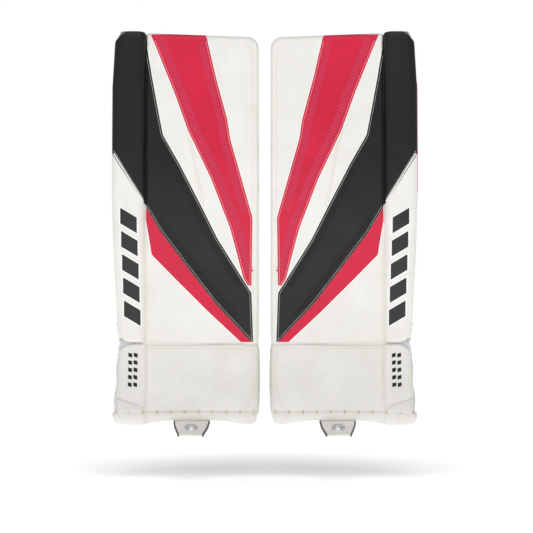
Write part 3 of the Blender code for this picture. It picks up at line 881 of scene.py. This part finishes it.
def make_boot(pad):
    across = arc_places(GUTTER, INNER, 5 * MM) + spaced(GUTTER - 5 * MM, INNER + 15 * MM, 44)
    across += arc_places(INNER, GUTTER, 15 * MM, 9)[::-1]
    shares = spaced(0.0, 0.95, 56) + [0.965, 0.975, 0.984, 0.991, 0.996, 1.0]
    bottom = BOOT_BOTTOM - 4 * MM

    def column(x, depth=None):
        points = []
        for share in shares:
            z = bottom + share * (BOOT_TOP - bottom)
            front = boot_y(x, z)
            y = front if depth is None else front + depth * (boot_back(z) - front)
            bulge = 0.0 if depth is None else 3.2 * MM * math.sin(math.pi * min(1.0, 2 * depth))
            wave = 1.2 * MM * math.sin((x - INNER) / 33 / MM) * share**30
            fall = 0.10 * (y - smooth(BOOT_PROFILE, z)) * share**12
            points.append((x - bulge * math.sin(math.pi * share) ** 0.5, y, z - fall + wave))
        return points

    columns = [[(x, y + 20 * MM, z) for x, y, z in column(GUTTER)]]
    columns += [column(x) for x in across]
    columns += [column(INNER, depth) for depth in (0.1, 0.2, 0.3, 0.45, 0.65, 0.85, 1.0)]
    skin = pad.sheet("boot_leather", columns, WHITE_LEATHER, pad.boot, "white_leather", SKIN, ("boot_shell",))

    def boot_roll_top(x):
        return BOOT_TOP + 1.5 * MM - corner_drop(boot_roll_outer(BOOT_TOP) - x, 16 * MM, 6 * MM)

    rings = roll_rings(lambda x: bottom, boot_roll_top, 40, boot_roll_y, boot_roll_outer, boot_roll_rear,
                       (4 * MM, 6 * MM))
    roll = pad.loft("boot_roll_leather", rings, WHITE_LEATHER, pad.boot, "white_leather",
                    ("boot_roll_cover",))

    # A sewn patch over the roll's lower end, cut on a slant, in a paler grey that is painted shade
    right, left = ROLL_INNER + 3 * MM, boot_roll_outer(0.06) - 2 * MM
    columns = []
    for x in spaced(left, right, 20):
        top = 56 * MM + 17 * MM * (x - right) / (left - right)
        heights = spaced(BOOT_BOTTOM - 3 * MM, top, 16)
        columns.append([(x, boot_roll_y(x, z) - 0.9 * MM, z) for z in heights])
    pad.sheet("boot_patch_painted_shade", columns, PAINTED_SHADE_LEATHER, pad.boot, "white_leather", 0.8 * MM)

    # The boot's seams
    edge = [(right, 53.5 * MM), (left, 70.5 * MM)]
    inner_seam = inset_line([(x, z) for z, x in BOOT_SEAM], 2.6 * MM)
    top_seam = [(x * MM, BOOT_TOP - 7 * MM) for x in (34, 90, 150, 212)]
    seam_lines = [
        on_surface(edge, boot_roll_y, 1.0 * MM, 3.6 * MM), on_surface(inner_seam, boot_y, 0.0, 4 * MM),
        on_surface(top_seam, boot_y, 0.1 * MM, 4 * MM),
    ]
    pad.stitches("boot_seam_stitches", seam_lines, 0.8 * MM, SEAM_THREAD, pad.boot, "white_leather",
                 lift=0.15 * MM)
    gutter_line = [(GUTTER - 0.5 * MM, z * MM) for z in (52, 90, 130, 160)]
    lacing = on_surface(gutter_line, lambda x, z: boot_y(x, z) - 0.6 * MM, 0.0, 6 * MM)
    pad.stitches("boot_gutter_lacing", [lacing], 1.3 * MM, CREAM_THREAD, pad.boot, "white_leather", gap=0.45)

    # Small dashes down the boot's roll, a plain version of the bars above
    vertices, faces = [], []
    for k in range(5):
        z = 92 * MM + k * 13.5 * MM
        for i in range(2):
            x = ROLL_INNER + 15 * MM + i * 10 * MM
            corners = [(x, z), (x + 7 * MM, z + 2 * MM), (x + 7 * MM, z + 9 * MM), (x, z + 7 * MM)]
            first = len(vertices)
            for lift in (0.0, 0.5 * MM):
                vertices += [(cx, boot_roll_y(cx, cz) - lift, cz) for cx, cz in corners]
            faces += [tuple(first + i for i in quad) for quad in BOX_FACES]
    pad.piece("boot_roll_dashes", vertices, faces, MARK_BLACK, pad.boot, "black_leather", crease=20)

    # The soft side panel behind the boot's roll
    def side_point(share, z):
        out = boot_roll_outer(z)
        end, start = boot_roll_rear(z) - 3 * MM, boot_roll_y(out, z) + 5 * MM
        bulge = 3.5 * MM * math.sin(math.pi * share) * (1 + 0.35 * math.sin(z / 9 / MM))
        return out + 0.4 * MM + bulge, end + (start - end) * share, z

    columns = grid(spaced(0.0, 1.0, 12), spaced(BOOT_BOTTOM, BOOT_TOP - 6 * MM, 30), side_point)
    pad.sheet("boot_side_gusset", columns, GREY_NYLON, pad.boot, "nylon", 1.0 * MM)


def make_gutter(pad):
    """The soft fold of leather that fills the valley between face and roll, white below the slanted seam."""
    for name, low, high, rows, cells, profile, hollow, sink, body, material, slot in (
        ("gutter_fold_white", FACE_BOTTOM + 3 * MM, 430 * MM, 70, 12, SHIN_PROFILE, -0.8 * MM, 2.2 * MM,
         pad.shin, WHITE_LEATHER, "white_leather"),
        ("gutter_fold_black", 430.5 * MM, FACE_TOP - 3 * MM, 70, 12, SHIN_PROFILE, -0.8 * MM, 2.2 * MM,
         pad.shin, BLACK_LEATHER, "black_leather"),
        ("boot_gutter_fold", BOOT_BOTTOM, BOOT_TOP - 4 * MM, 40, 10, BOOT_PROFILE, 0.0, 1.6 * MM,
         pad.boot, WHITE_LEATHER, "white_leather"),
    ):
        def fold_point(share, z):
            x = ROLL_INNER + 3.5 * MM + share * (GUTTER - ROLL_INNER - 6.5 * MM)
            return x, smooth(profile, z) + (1 - 2 * share) ** 2 * hollow + sink - 1.5 * MM * (1 - share), z

        columns = grid(spaced(0.0, 1.0, cells), spaced(low, high, rows), fold_point)
        pad.sheet(name, columns, material, body, slot, 1.0 * MM)


def make_break_fold(pad):
    """The flexible strip of leather behind the break, which joins the boot's face to the shin's."""
    def fold_point(x, z):
        into = math.exp(-(((z - BREAK - 0.2 * MM) / (3 * MM)) ** 2))
        front = smooth(SHIN_PROFILE, FACE_BOTTOM) + rounded(x - INNER, 14 * MM) + 1.0 * MM
        return x, front + 1.2 * MM * into, z

    columns = grid(spaced(roll_outer(BREAK) - 10 * MM, INNER + 1 * MM, 60),
                   spaced(FACE_BOTTOM - 9 * MM, FACE_BOTTOM + 8 * MM, 18), fold_point)
    fold = pad.sheet("break_fold", columns, WHITE_LEATHER, None, "white_leather", 1.0 * MM)
    depth = shin_y(GUTTER / 2, BREAK)
    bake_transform(fold)


def make_break_gusset(pad):
    """Crumpled fabric that closes the outer side of the break between boot and shin."""
    end, start = shin_back(0.18) + 2 * MM, shin_y(GUTTER - 20 * MM, 0.18) + 3 * MM
    corner, waist = 272 * MM, 176 * MM  # the fabric's outer side, and the height where it is pulled in most
    path = [(corner, end + (start - end) * share) for share in spaced(0.0, 1.0, 14)]
    path += [(x, start - 1.2 * MM + 0.06 * (x - corner)) for x in spaced(270 * MM, 246 * MM, 12)]

    def cloth_point(k, z):
        out, y = path[k]
        wide = 3.5 * MM * (abs(z - waist) / (28 * MM)) ** 2 * (out > 268 * MM)
        fold = 1.3 * MM * math.sin(z / 2.4 / MM + 0.15 * k)
        return out + wide + fold * (k < 14), y + fold * (k >= 14), z

    columns = grid(range(len(path)), spaced(150 * MM, 208 * MM, 60), cloth_point)
    gusset = pad.sheet("break_gusset", columns, GREY_NYLON, None, "nylon", 1.0 * MM)
    depth = shin_y(GUTTER / 2, BREAK)
    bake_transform(gusset)


LACE_START = 19.5 * MM
LACE_PITCH = 25.6 * MM


def make_welt(pad):
    """The rolled toe welt, laced to the boot through short slits."""
    low_x, high_x = welt_low[0] + 4 * MM, welt_high[0] + 1 * MM
    top, rear = welt_high[2] + 1.5 * MM, boot_back(welt_high[2])

    def front(x):
        """How far forward the welt's fold comes, further under the roll than under the boot's face."""
        share = min(1.0, max(0.0, (x - GUTTER + 6 * MM) / (12 * MM)))
        share = share * share * (3 - 2 * share)
        return smooth(BOOT_PROFILE, top) - 4.5 * MM - share * (ROLL_PROUD - 3 * MM)

    rings = []
    for x in eased(low_x, high_x, 150):
        to_end = min(x - low_x, high_x - x)
        bottom = smooth(WELT_BOTTOM, x) + 0.85 * rounded(to_end, 15 * MM)
        scallop = 1.4 * MM * abs(math.sin(math.pi * (x - LACE_START) / LACE_PITCH)) ** 0.5
        peak = top - 1.2 * MM + scallop - 0.35 * rounded(to_end, 9 * MM)
        middle, half = (peak + bottom) / 2, (peak - bottom) / 2
        centre = front(x) + 11 * MM + 0.8 * rounded(to_end, 12 * MM)
        ring = []
        for turn in spaced(-0.12 * math.pi, math.pi, 20):
            bulge = 11 * MM * abs(math.sin(turn)) ** 0.75 * (1 if turn > 0 else -1)
            ring.append((x, centre - bulge, middle + half * math.cos(turn)))
        ring += [(x, rear - 20 * MM, bottom + 0.2 * MM), (x, rear - 2 * MM, bottom + 3 * MM)]
        ring += [(x, rear - 2 * MM, top - 6 * MM), (x, centre + 9 * MM, top - 4 * MM)]
        rings.append(ring)
    welt = pad.loft("toe_welt_leather", rings, WHITE_LEATHER, pad.boot, "white_leather", ("toe_welt",), 60)

    paths = []
    for k in range(11):
        x = LACE_START + k * LACE_PITCH
        y = front(x) + 2.6 * MM
        slit = (x, y + 3.0 * MM, top + 2.5 * MM), (x + 0.8 * MM, y - 1.9 * MM, top - 4.6 * MM)
        paths.append([(point, (0, -1, 0.5)) for point in slit])
    pad.stitches("toe_welt_lacing", paths, 2.4 * MM, CREAM_THREAD, pad.boot, "white_leather", gap=0.0,
                 lift=1.0 * MM)


def tab_rows():
    """half width -> the top point (y, z) of each ring along the toe tab, from its root to its tip."""
    rows = {}
    for vertex in NODES["left_toe_tab"].data.vertices:
        half = round(abs(vertex.co.x - TAB_CENTRE), 4)
        if half not in rows or vertex.co.z > rows[half][1]:
            rows[half] = (vertex.co.y, vertex.co.z)
    return sorted(rows.items(), reverse=True)


tab_low, tab_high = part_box("left_toe_tab")
TAB_CENTRE = (tab_low[0] + tab_high[0]) / 2
TAB_OUTWARD = 4 * MM  # the worn tab hangs a little further out than the CAD's
TAB_THICKNESS = 4.5 * MM
TAB_SECTION = (
    (-1, 0.5), (-0.97, 0.9), (-0.9, 1.0), (-0.3, 1.03), (0.3, 1.03), (0.9, 1.0), (0.97, 0.9), (1, 0.5),
    (0.97, 0.1), (0.9, 0.0), (0.0, 0.0), (-0.9, 0.0), (-0.97, 0.1),
)
EDGE_SECTION = ((0.0, 0.3), (0.12, 1.06), (1.0, 1.10), (1.0, -0.06), (0.12, -0.04))
STUD_SECTION = (
    (1.0, 0.0), (1.0, 0.8), (0.93, 1.5), (0.80, 1.6), (0.76, 1.9), (0.62, 3.0), (0.45, 3.9), (0.25, 4.45),
    (0.05, 4.6),
)


def make_toe_tab(pad):
    rows = tab_rows()
    centre = TAB_CENTRE + TAB_OUTWARD
    slope = Vector((rows[-1][1][0] - rows[0][1][0], rows[-1][1][1] - rows[0][1][1])).normalized()
    up = Vector((-slope.y, slope.x)) if slope.x < 0 else Vector((slope.y, -slope.x))
    up = up if up.y > 0 else -up
    root = Vector(rows[0][1])
    widths = [((Vector(p) - root).length, half) for half, p in rows]
    length = widths[-1][0] - 8 * MM

    def curl(along):
        """The leather's slight upward curl towards its tip."""
        return up * 4.5 * MM * (max(0.0, along) / length) ** 2

    rings = []
    for along in spaced(-4 * MM, length, 34):
        inset = rounded(length - along, 2.2 * MM)
        half = straight(widths, along) - 1.0 * MM
        middle = root + slope * along + curl(along)
        ring = []
        for share, height in TAB_SECTION:
            spot = middle + up * ((height - 1.0) * (TAB_THICKNESS - 2 * inset) - inset)
            ring.append((centre + share * half, spot.x, spot.y))
        rings.append(ring)
    pad.loft("toe_tab_leather", rings, WHITE_LEATHER, pad.toe_tab, "white_leather", ("toe_tab",))
    for name, way in (("outer", 1), ("inner", -1)):
        rings = []
        for along in spaced(-2 * MM, length - 0.5 * MM, 30):
            edge = centre + way * straight(widths, along)
            middle = root + slope * along + curl(along)
            ring = []
            for share, height in EDGE_SECTION:
                spot = middle + up * (height - 1.0) * TAB_THICKNESS
                ring.append((edge - way * share * 2.8 * MM, spot.x, spot.y))
            rings.append(ring)
        pad.loft(f"toe_tab_{name}_edge", rings, EDGE_PAINT, pad.toe_tab, "black_leather")

    low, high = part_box("left_toe_rivet")
    radius = (high[0] - low[0]) / 2
    stud_middle = Vector(((low[1] + high[1]) / 2, (low[2] + high[2]) / 2))
    seat = root + slope * ((stud_middle - root).dot(slope) - 4 * MM)
    seat = seat + curl((seat - root).length)
    rings = []
    for share, height in STUD_SECTION:
        ring = []
        for k in range(48):
            angle = 2 * math.pi * k / 48
            spot = seat + slope * (radius * share * math.sin(angle)) + up * (height * MM + 0.3 * MM)
            ring.append((centre + radius * share * math.cos(angle), spot.x, spot.y))
        rings.append(ring)
    pad.loft("toe_stud", rings, CHROME, pad.toe_tab, "chrome", ("toe_rivet",), 40)


# ---------------------------------------------------------------- the back

def plan_path(name):
    """Middle line and half thickness of an upright curved CAD wall, in plan, from its outer end round."""
    object_low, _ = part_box(f"left_{name}")
    corners = {
        (round(v.co.x, 5), round(v.co.y, 5)) for v in NODES[f"left_{name}"].data.vertices
        if v.co.z < object_low[2] + 1 * MM
    }
    leg = Vector((140 * MM, 48 * MM))
    turned = sorted(corners, key=lambda c: math.atan2(c[1] - leg.y, c[0] - leg.x))
    pairs = [(Vector(a), Vector(b)) for a, b in zip(turned[::2], turned[1::2])]
    half = sum((b - a).length for a, b in pairs) / len(pairs) / 2
    return [(a + b) / 2 for a, b in pairs], half


CALF_QUILT = (0.25, 0.31, 0.37)  # heights of the sewn lines across the calf's panels


def padded_wall(pad, name, node_name, material, body, slot, quilt=(), binding=None, half=None):
    """A soft curved panel standing on a plan path: full in its middle, thin at its bound edges, with sewn
    lines across it at the quilt heights."""
    path, thick = plan_path(node_name)
    thick = half or thick
    low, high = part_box(f"left_{node_name}")
    line = resampled(curved(path), 3.5 * MM)
    length = sum((b - a).length for a, b in zip(line, line[1:]))
    rings = []
    for z in eased(low[2], high[2], 44):
        outer_side, inner_side = [], []
        run = 0.0
        for i, point in enumerate(line):
            run += (point - line[i - 1]).length if i else 0.0
            way = way_along(line, i)
            out = Vector((way.y, -way.x))
            edge = min(run, length - run, z - low[2], high[2] - z)
            swell = thick * (0.30 + 0.70 * min(1.0, max(edge, 0.0) / (11 * MM)) ** 0.55)
            for level in quilt:
                swell -= groove(z - level, 2.6 * MM, thick * 0.42)
            swell += pucker(run, z, 0.5 * MM, 26 * MM, thick) * min(1.0, edge / (9 * MM))
            outer_side.append((*(point + out * swell), z))
            inner_side.append((*(point - out * swell), z))
        rings.append(outer_side + inner_side[::-1])
    made = pad.loft(name, rings, material, body, slot, (node_name,), crease=60)
    if binding:
        # Folded tape sewn over the free edges: along the bottom, up the end and back along the top
        run = [(*p, low[2]) for p in line]
        run += [(*line[-1], z) for z in spaced(low[2] + 4 * MM, high[2] - 4 * MM, 24)]
        run += [(*p, high[2]) for p in line[::-1]]
        pad.loft(f"{name}_binding", tape_rings(run, 3.6 * MM), binding, body, "nylon", crease=60)


def tape_rings(run, radius):
    """Small round sections along a line, for binding tape or piping."""
    points = [Vector(p) for p in run]
    rings = []
    up = Vector((0.3, 0.2, 1.0)).normalized()
    for i, point in enumerate(points):
        way = way_along(points, i)
        side_way = way.cross(up)
        side_way = side_way.normalized() if side_way.length > 0.05 else Vector((1, 0, 0))
        up = side_way.cross(way).normalized()
        rings.append([
            point + (side_way * math.cos(2 * math.pi * k / 8) + up * math.sin(2 * math.pi * k / 8)) * radius
            for k in range(8)
        ])
    return rings


STRAP_SECTION = ((-1, 0.5), (-0.9, 1.15), (-0.75, 0.9), (0, 0.95), (0.75, 0.9), (0.9, 1.15), (1, 0.5))


def strap(pad, name, body):
    """Flat webbing along its plan path, with rolled selvedges, sewn down at its root, hooked at its tip."""
    path, thick = plan_path(name)
    low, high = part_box(f"left_{name}")
    middle, half = (low[2] + high[2]) / 2, (high[2] - low[2]) / 2
    line = resampled(curved(path), 3 * MM)

    def rings_of(points, half_width, half_thick, lift):
        rings = []
        for i, point in enumerate(points):
            way = way_along(points, i)
            out = Vector((way.y, -way.x))
            taper = 1.0 if min(i, len(points) - 1 - i) > 1 else 0.86
            ring = []
            for side in (1, -1):
                for share, swell in STRAP_SECTION:
                    spot = point + out * (half_thick * swell * side + lift)
                    ring.append((spot.x, spot.y, middle + share * side * half_width * taper))
            rings.append(ring)
        return rings

    pad.loft(name + "_webbing", rings_of(line, half, thick * 0.85, 0.0), WEBBING, body, "webbing", (name,),
             crease=60)
    steps = round(34 * MM / (3 * MM))
    hook_rings = rings_of(line[-steps:], half * 0.94, 0.6 * MM, thick + 0.4 * MM)
    pad.loft(name + "_hook_tab", hook_rings, LOOP_PILE, body, "nylon", crease=60)

    # A crossed box of stitches at the root
    def on_strap(run, height):
        i = min(len(line) - 2, max(0, int(run / (3 * MM))))
        point = line[i].lerp(line[i + 1], run / (3 * MM) - i)
        way = (line[i + 1] - line[i]).normalized()
        out = Vector((way.y, -way.x))
        spot = point + out * (thick + 0.1 * MM)
        return (spot.x, spot.y, height), (out.x, out.y, 0.0)

    inset, start, end = half * 0.72, 4 * MM, 24 * MM
    corners = [(start, -inset), (end, -inset), (end, inset), (start, inset), (start, -inset), (end, inset)]
    runs = []
    for (a, b), (c, d) in zip(corners, corners[1:]):
        count = max(3, round(math.hypot(c - a, d - b) / (3.2 * MM)))
        runs.append([
            on_strap(a + (c - a) * t / count, middle + b + (d - b) * t / count) for t in range(count + 1)
        ])
    pad.stitches(name + "_box_stitch", runs, 0.9 * MM, WHITE_THREAD, body, "webbing", gap=0.25)


def inflate(piece, pressure, cap, voxel=5 * MM):
    """Blow a foam-filled cover up by cloth simulation, no point moving more than the cap."""
    remesh = piece.modifiers.new("even mesh", "REMESH")
    remesh.mode = "VOXEL"
    remesh.voxel_size = voxel
    settle(piece)
    start = [v.co.copy() for v in piece.data.vertices]
    cloth = piece.modifiers.new("fill", "CLOTH")
    cloth.settings.use_pressure = True
    cloth.settings.uniform_pressure_force = pressure
    cloth.settings.quality = 5
    cloth.settings.tension_stiffness = 18
    cloth.settings.bending_stiffness = 0.8
    cloth.settings.effector_weights.gravity = 0
    cloth.collision_settings.use_collision = False
    for number in range(1, 21):
        bpy.context.scene.frame_set(number)
    settle(piece)
    bpy.context.scene.frame_set(1)
    for vertex, before in zip(piece.data.vertices, start):
        move = vertex.co - before
        if move.length > cap:
            vertex.co = before + move * (cap / move.length)
    finer = piece.modifiers.new("finer", "SUBSURF")
    finer.levels = finer.render_levels = 1
    settle(piece)
    piece.data.shade_smooth()


def settle(piece):
    """Make what the modifiers show the piece's own mesh."""
    seen = piece.evaluated_get(bpy.context.evaluated_depsgraph_get())
    mesh = bpy.data.meshes.new_from_object(seen)
    piece.modifiers.clear()
    piece.data = mesh


def block_rings(low, high, inset, tuck, front):
    """Rings up a block of foam with rounded corners, drawn in by inset, its sides tucked in at mid height and
    its front lying along front(z)."""
    rings = []
    for share in eased(0.0, 1.0, 30):
        z = low[2] + inset + share * (high[2] - low[2] - 2 * inset)
        to_end = min(z - low[2], high[2] - z) - inset
        pull = inset + tuck * math.sin(math.pi * share) + rounded(to_end, 7 * MM) * 0.6
        x0, x1, y0, y1 = low[0] + pull, high[0] - pull, front(z), high[1] - pull
        radius = min(9 * MM, (x1 - x0) / 2 - 0.5 * MM)
        ring = []
        for cx, cy, start in ((x1, y1, 0), (x0, y1, 90), (x0, y0, 180), (x1, y0, 270)):
            for k in range(6):
                turn = math.radians(start + 18 * k)
                bend = radius if cy == y1 else 1 * MM
                centre = (cx - bend if cx == x1 else cx + bend), (cy - bend if cy == y1 else cy + bend)
                ring.append((centre[0] + bend * math.cos(turn), centre[1] + bend * math.sin(turn), z))
        rings.append(ring)
    return rings


def make_back(pad):
    # Quilted cover of the back, in diamonds
    rows = spaced(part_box("left_back_panel")[0][2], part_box("left_back_panel")[1][2], 110)
    diamond = 48 * MM

    def cover_point(x, z):
        swell = min(abs(math.sin(math.pi * (x + way * z) / diamond)) for way in (1, -1)) ** 0.5
        edge = min(1.0, min(x - INNER, GUTTER - x, z - rows[0] + 2 * MM, rows[-1] - z + 2 * MM) / (8 * MM))
        z = min(z, face_top(x) - 4 * MM)
        return x, shin_back(z) + 1.3 * MM + 1.6 * MM * swell * edge, z

    columns = grid(spaced(INNER + 2 * MM, GUTTER - 1 * MM, 60), rows, cover_point)
    pad.sheet("back_cover", columns, NYLON, pad.shin, "nylon", 1.2 * MM, ("back_panel",))

    channel_low, channel_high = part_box("left_leg_channel")
    rings = block_rings(channel_low, channel_high, 2.5 * MM, 1.5 * MM, lambda z: shin_back(z) + 4.5 * MM)
    channel = pad.loft("leg_channel_pad", rings, LINER, pad.shin, "liner", ("leg_channel",), crease=60)
    inflate(channel, 3.0, 3 * MM)
    for name, material, slot, node_name in (
        ("knee_block", WHITE_LEATHER, "white_leather", "knee_base"),
        ("knee_cushion_pad", NYLON, "nylon", "knee_cushion"),
    ):
        low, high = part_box(f"left_{node_name}")
        rings = block_rings(low, high, 1.5 * MM, 0.8 * MM, lambda z: shin_back(z) + 4.0 * MM)
        block = pad.loft(name, rings, material, pad.shin, slot, (node_name,), crease=60)
        inflate(block, 4.0, 4 * MM)
    padded_wall(pad, "calf_guard_pad", "calf_guard", NYLON, pad.shin, "nylon", CALF_QUILT, BINDING)


def make_roll_backs(pad):
    """Nylon over the back of both rolls, where the leather doesn't reach."""
    for name, rear, outer, low, high, body in (
        ("roll_back_cover", roll_rear, roll_outer, ROLL_BOTTOM + 4 * MM, ROLL_TOP - 5 * MM, pad.shin),
        ("boot_roll_back_cover", boot_roll_rear, boot_roll_outer, BOOT_BOTTOM + 4 * MM, BOOT_TOP - 4 * MM,
         pad.boot),
    ):
        def cover_point(share, z):
            return ROLL_INNER + 1 * MM + share * (outer(z) - 4 * MM - ROLL_INNER), rear(z) + 1.5 * MM, z

        columns = grid(spaced(0.0, 1.0, 8), spaced(low, high, 60), cover_point)
        pad.sheet(name, columns, NYLON, body, "nylon", 1.0 * MM)


def make_wings(pad):
    prefix = pad.prefix
    padded_wall(pad, "calf_flap_pad", "calf_flap", WHITE_LEATHER, f"{prefix}_calf_flap", "white_leather",
                CALF_QUILT, BINDING)
    padded_wall(pad, "knee_wing_pad", "knee_wing", WHITE_LEATHER, f"{prefix}_knee_wing", "white_leather",
                (0.5,), BINDING)
    padded_wall(pad, "boot_loop_tab", "boot_strap_loop", NYLON, pad.boot, "nylon", half=1.3 * MM)
    for name in ("calf_strap", "shin_strap", "knee_strap", "boot_strap"):
        strap(pad, name, f"{prefix}_{name}")


def make_boot_liner(pad):
    low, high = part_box("left_boot_liner")

    def liner_point(x, z):
        swell = abs(math.sin(math.pi * (z - low[2]) / (20.4 * MM))) ** 0.5
        edge = min(1.0, min(x - INNER, GUTTER - x) / (8 * MM))
        return x, boot_back(z) + 2.5 * MM + 3.0 * MM * swell * edge, z

    columns = grid(spaced(INNER + 2 * MM, GUTTER - 2 * MM, 60), spaced(low[2], high[2], 50), liner_point)
    pad.sheet("boot_lining", columns, LINER, pad.boot, "liner", 1.6 * MM, ("boot_liner",))


# ---------------------------------------------------------------- the pair

def dress_inner_parts():
    """The foam and plastic inside keep their CAD shapes and get real surfaces."""
    for prefix in ("right", "left"):
        for name, material in (
            ("shin_core", FOAM), ("boot_core", FOAM), ("roll_core", FOAM), ("boot_roll_core", FOAM),
            ("face_stiffener", PLASTIC_SHEET),
        ):
            NODES[f"{prefix}_{name}"].material_slots[0].material = material


def make_pads():
    for side, prefix in ((-1, "right"), (1, "left")):
        pad = Pad(side, prefix)
        for make in (
            make_face, make_bands, make_roll, make_boot, make_gutter, make_break_fold, make_break_gusset,
            make_welt, make_toe_tab, make_back, make_roll_backs, make_wings, make_boot_liner,
        ):
            make(pad)


# ---------------------------------------------------------------- studio

FLOOR = -76 * MM


def lit_table():
    """A white table lit from below, more so away from its middle: it stays white round a soft shadow."""
    white = (1, 1, 1, 1)
    material, tree, shader = finish("lit_white_table", {"Base Color": white, "Emission Color": white,
                                                        "Roughness": 0.9})
    place = node(tree, "ShaderNodeTexCoord")
    away = node(tree, "ShaderNodeVectorMath", {"operation": "LENGTH"}, {0: place.outputs["Object"]})
    glow = node(tree, "ShaderNodeMapRange",
                {"From Min": 0.2, "From Max": 0.8, "To Min": 0.38, "To Max": 0.85},
                {"Value": away.outputs["Value"]})
    tree.links.new(glow.outputs["Result"], shader.inputs["Emission Strength"])
    return material


def make_studio():
    floor_mesh = bpy.data.meshes.new("studio_floor")
    corners = [(x, y, FLOOR) for x, y in ((-8, -8), (8, -8), (8, 8), (-8, 8))]
    floor_mesh.from_pydata(corners, [], [(0, 1, 2, 3)])
    floor = bpy.data.objects.new("studio_floor", floor_mesh)
    bpy.context.scene.collection.objects.link(floor)
    floor_mesh.materials.append(lit_table())

    world = bpy.data.worlds.new("studio")
    world.use_nodes = True
    tree = world.node_tree
    seen = node(tree, "ShaderNodeLightPath")
    strength = node(tree, "ShaderNodeMapRange", {"To Min": 0.33, "To Max": 1.0},
                    {"Value": seen.outputs["Is Camera Ray"]})
    tree.nodes["Background"].inputs["Color"].default_value = (1, 1, 1, 1)
    tree.links.new(strength.outputs["Result"], tree.nodes["Background"].inputs["Strength"])
    bpy.context.scene.world = world

    for name, place, size, power in (
        ("overhead", (0.0, -1.2, 2.7), 2.2, 22.0), ("front_left", (-2.0, -2.6, 0.7), 1.6, 5.5),
        ("front_right", (2.1, -2.5, 0.5), 1.6, 4.0), ("front_low", (0.0, -2.6, 0.05), 1.2, 5.0),
    ):
        lamp = bpy.data.lights.new(name, "AREA")
        lamp.size = size
        lamp.energy = power
        light = bpy.data.objects.new(name, lamp)
        light.location = place
        light.rotation_euler = (Vector((0, 0, 0.35)) - Vector(place)).to_track_quat("-Z", "Y").to_euler()
        bpy.context.scene.collection.objects.link(light)

    lens = bpy.data.cameras.new("camera")
    lens.lens = 145.3
    lens.clip_end = 60
    camera = bpy.data.objects.new("camera", lens)
    camera.location = (3.3 * MM, -4.05, 315.3 * MM)
    camera.rotation_euler = (math.pi / 2, 0, 0)
    bpy.context.scene.collection.objects.link(camera)
    bpy.context.scene.camera = camera
    bpy.context.scene.view_settings.view_transform = "Standard"


make_studio()
dress_inner_parts()
make_pads()
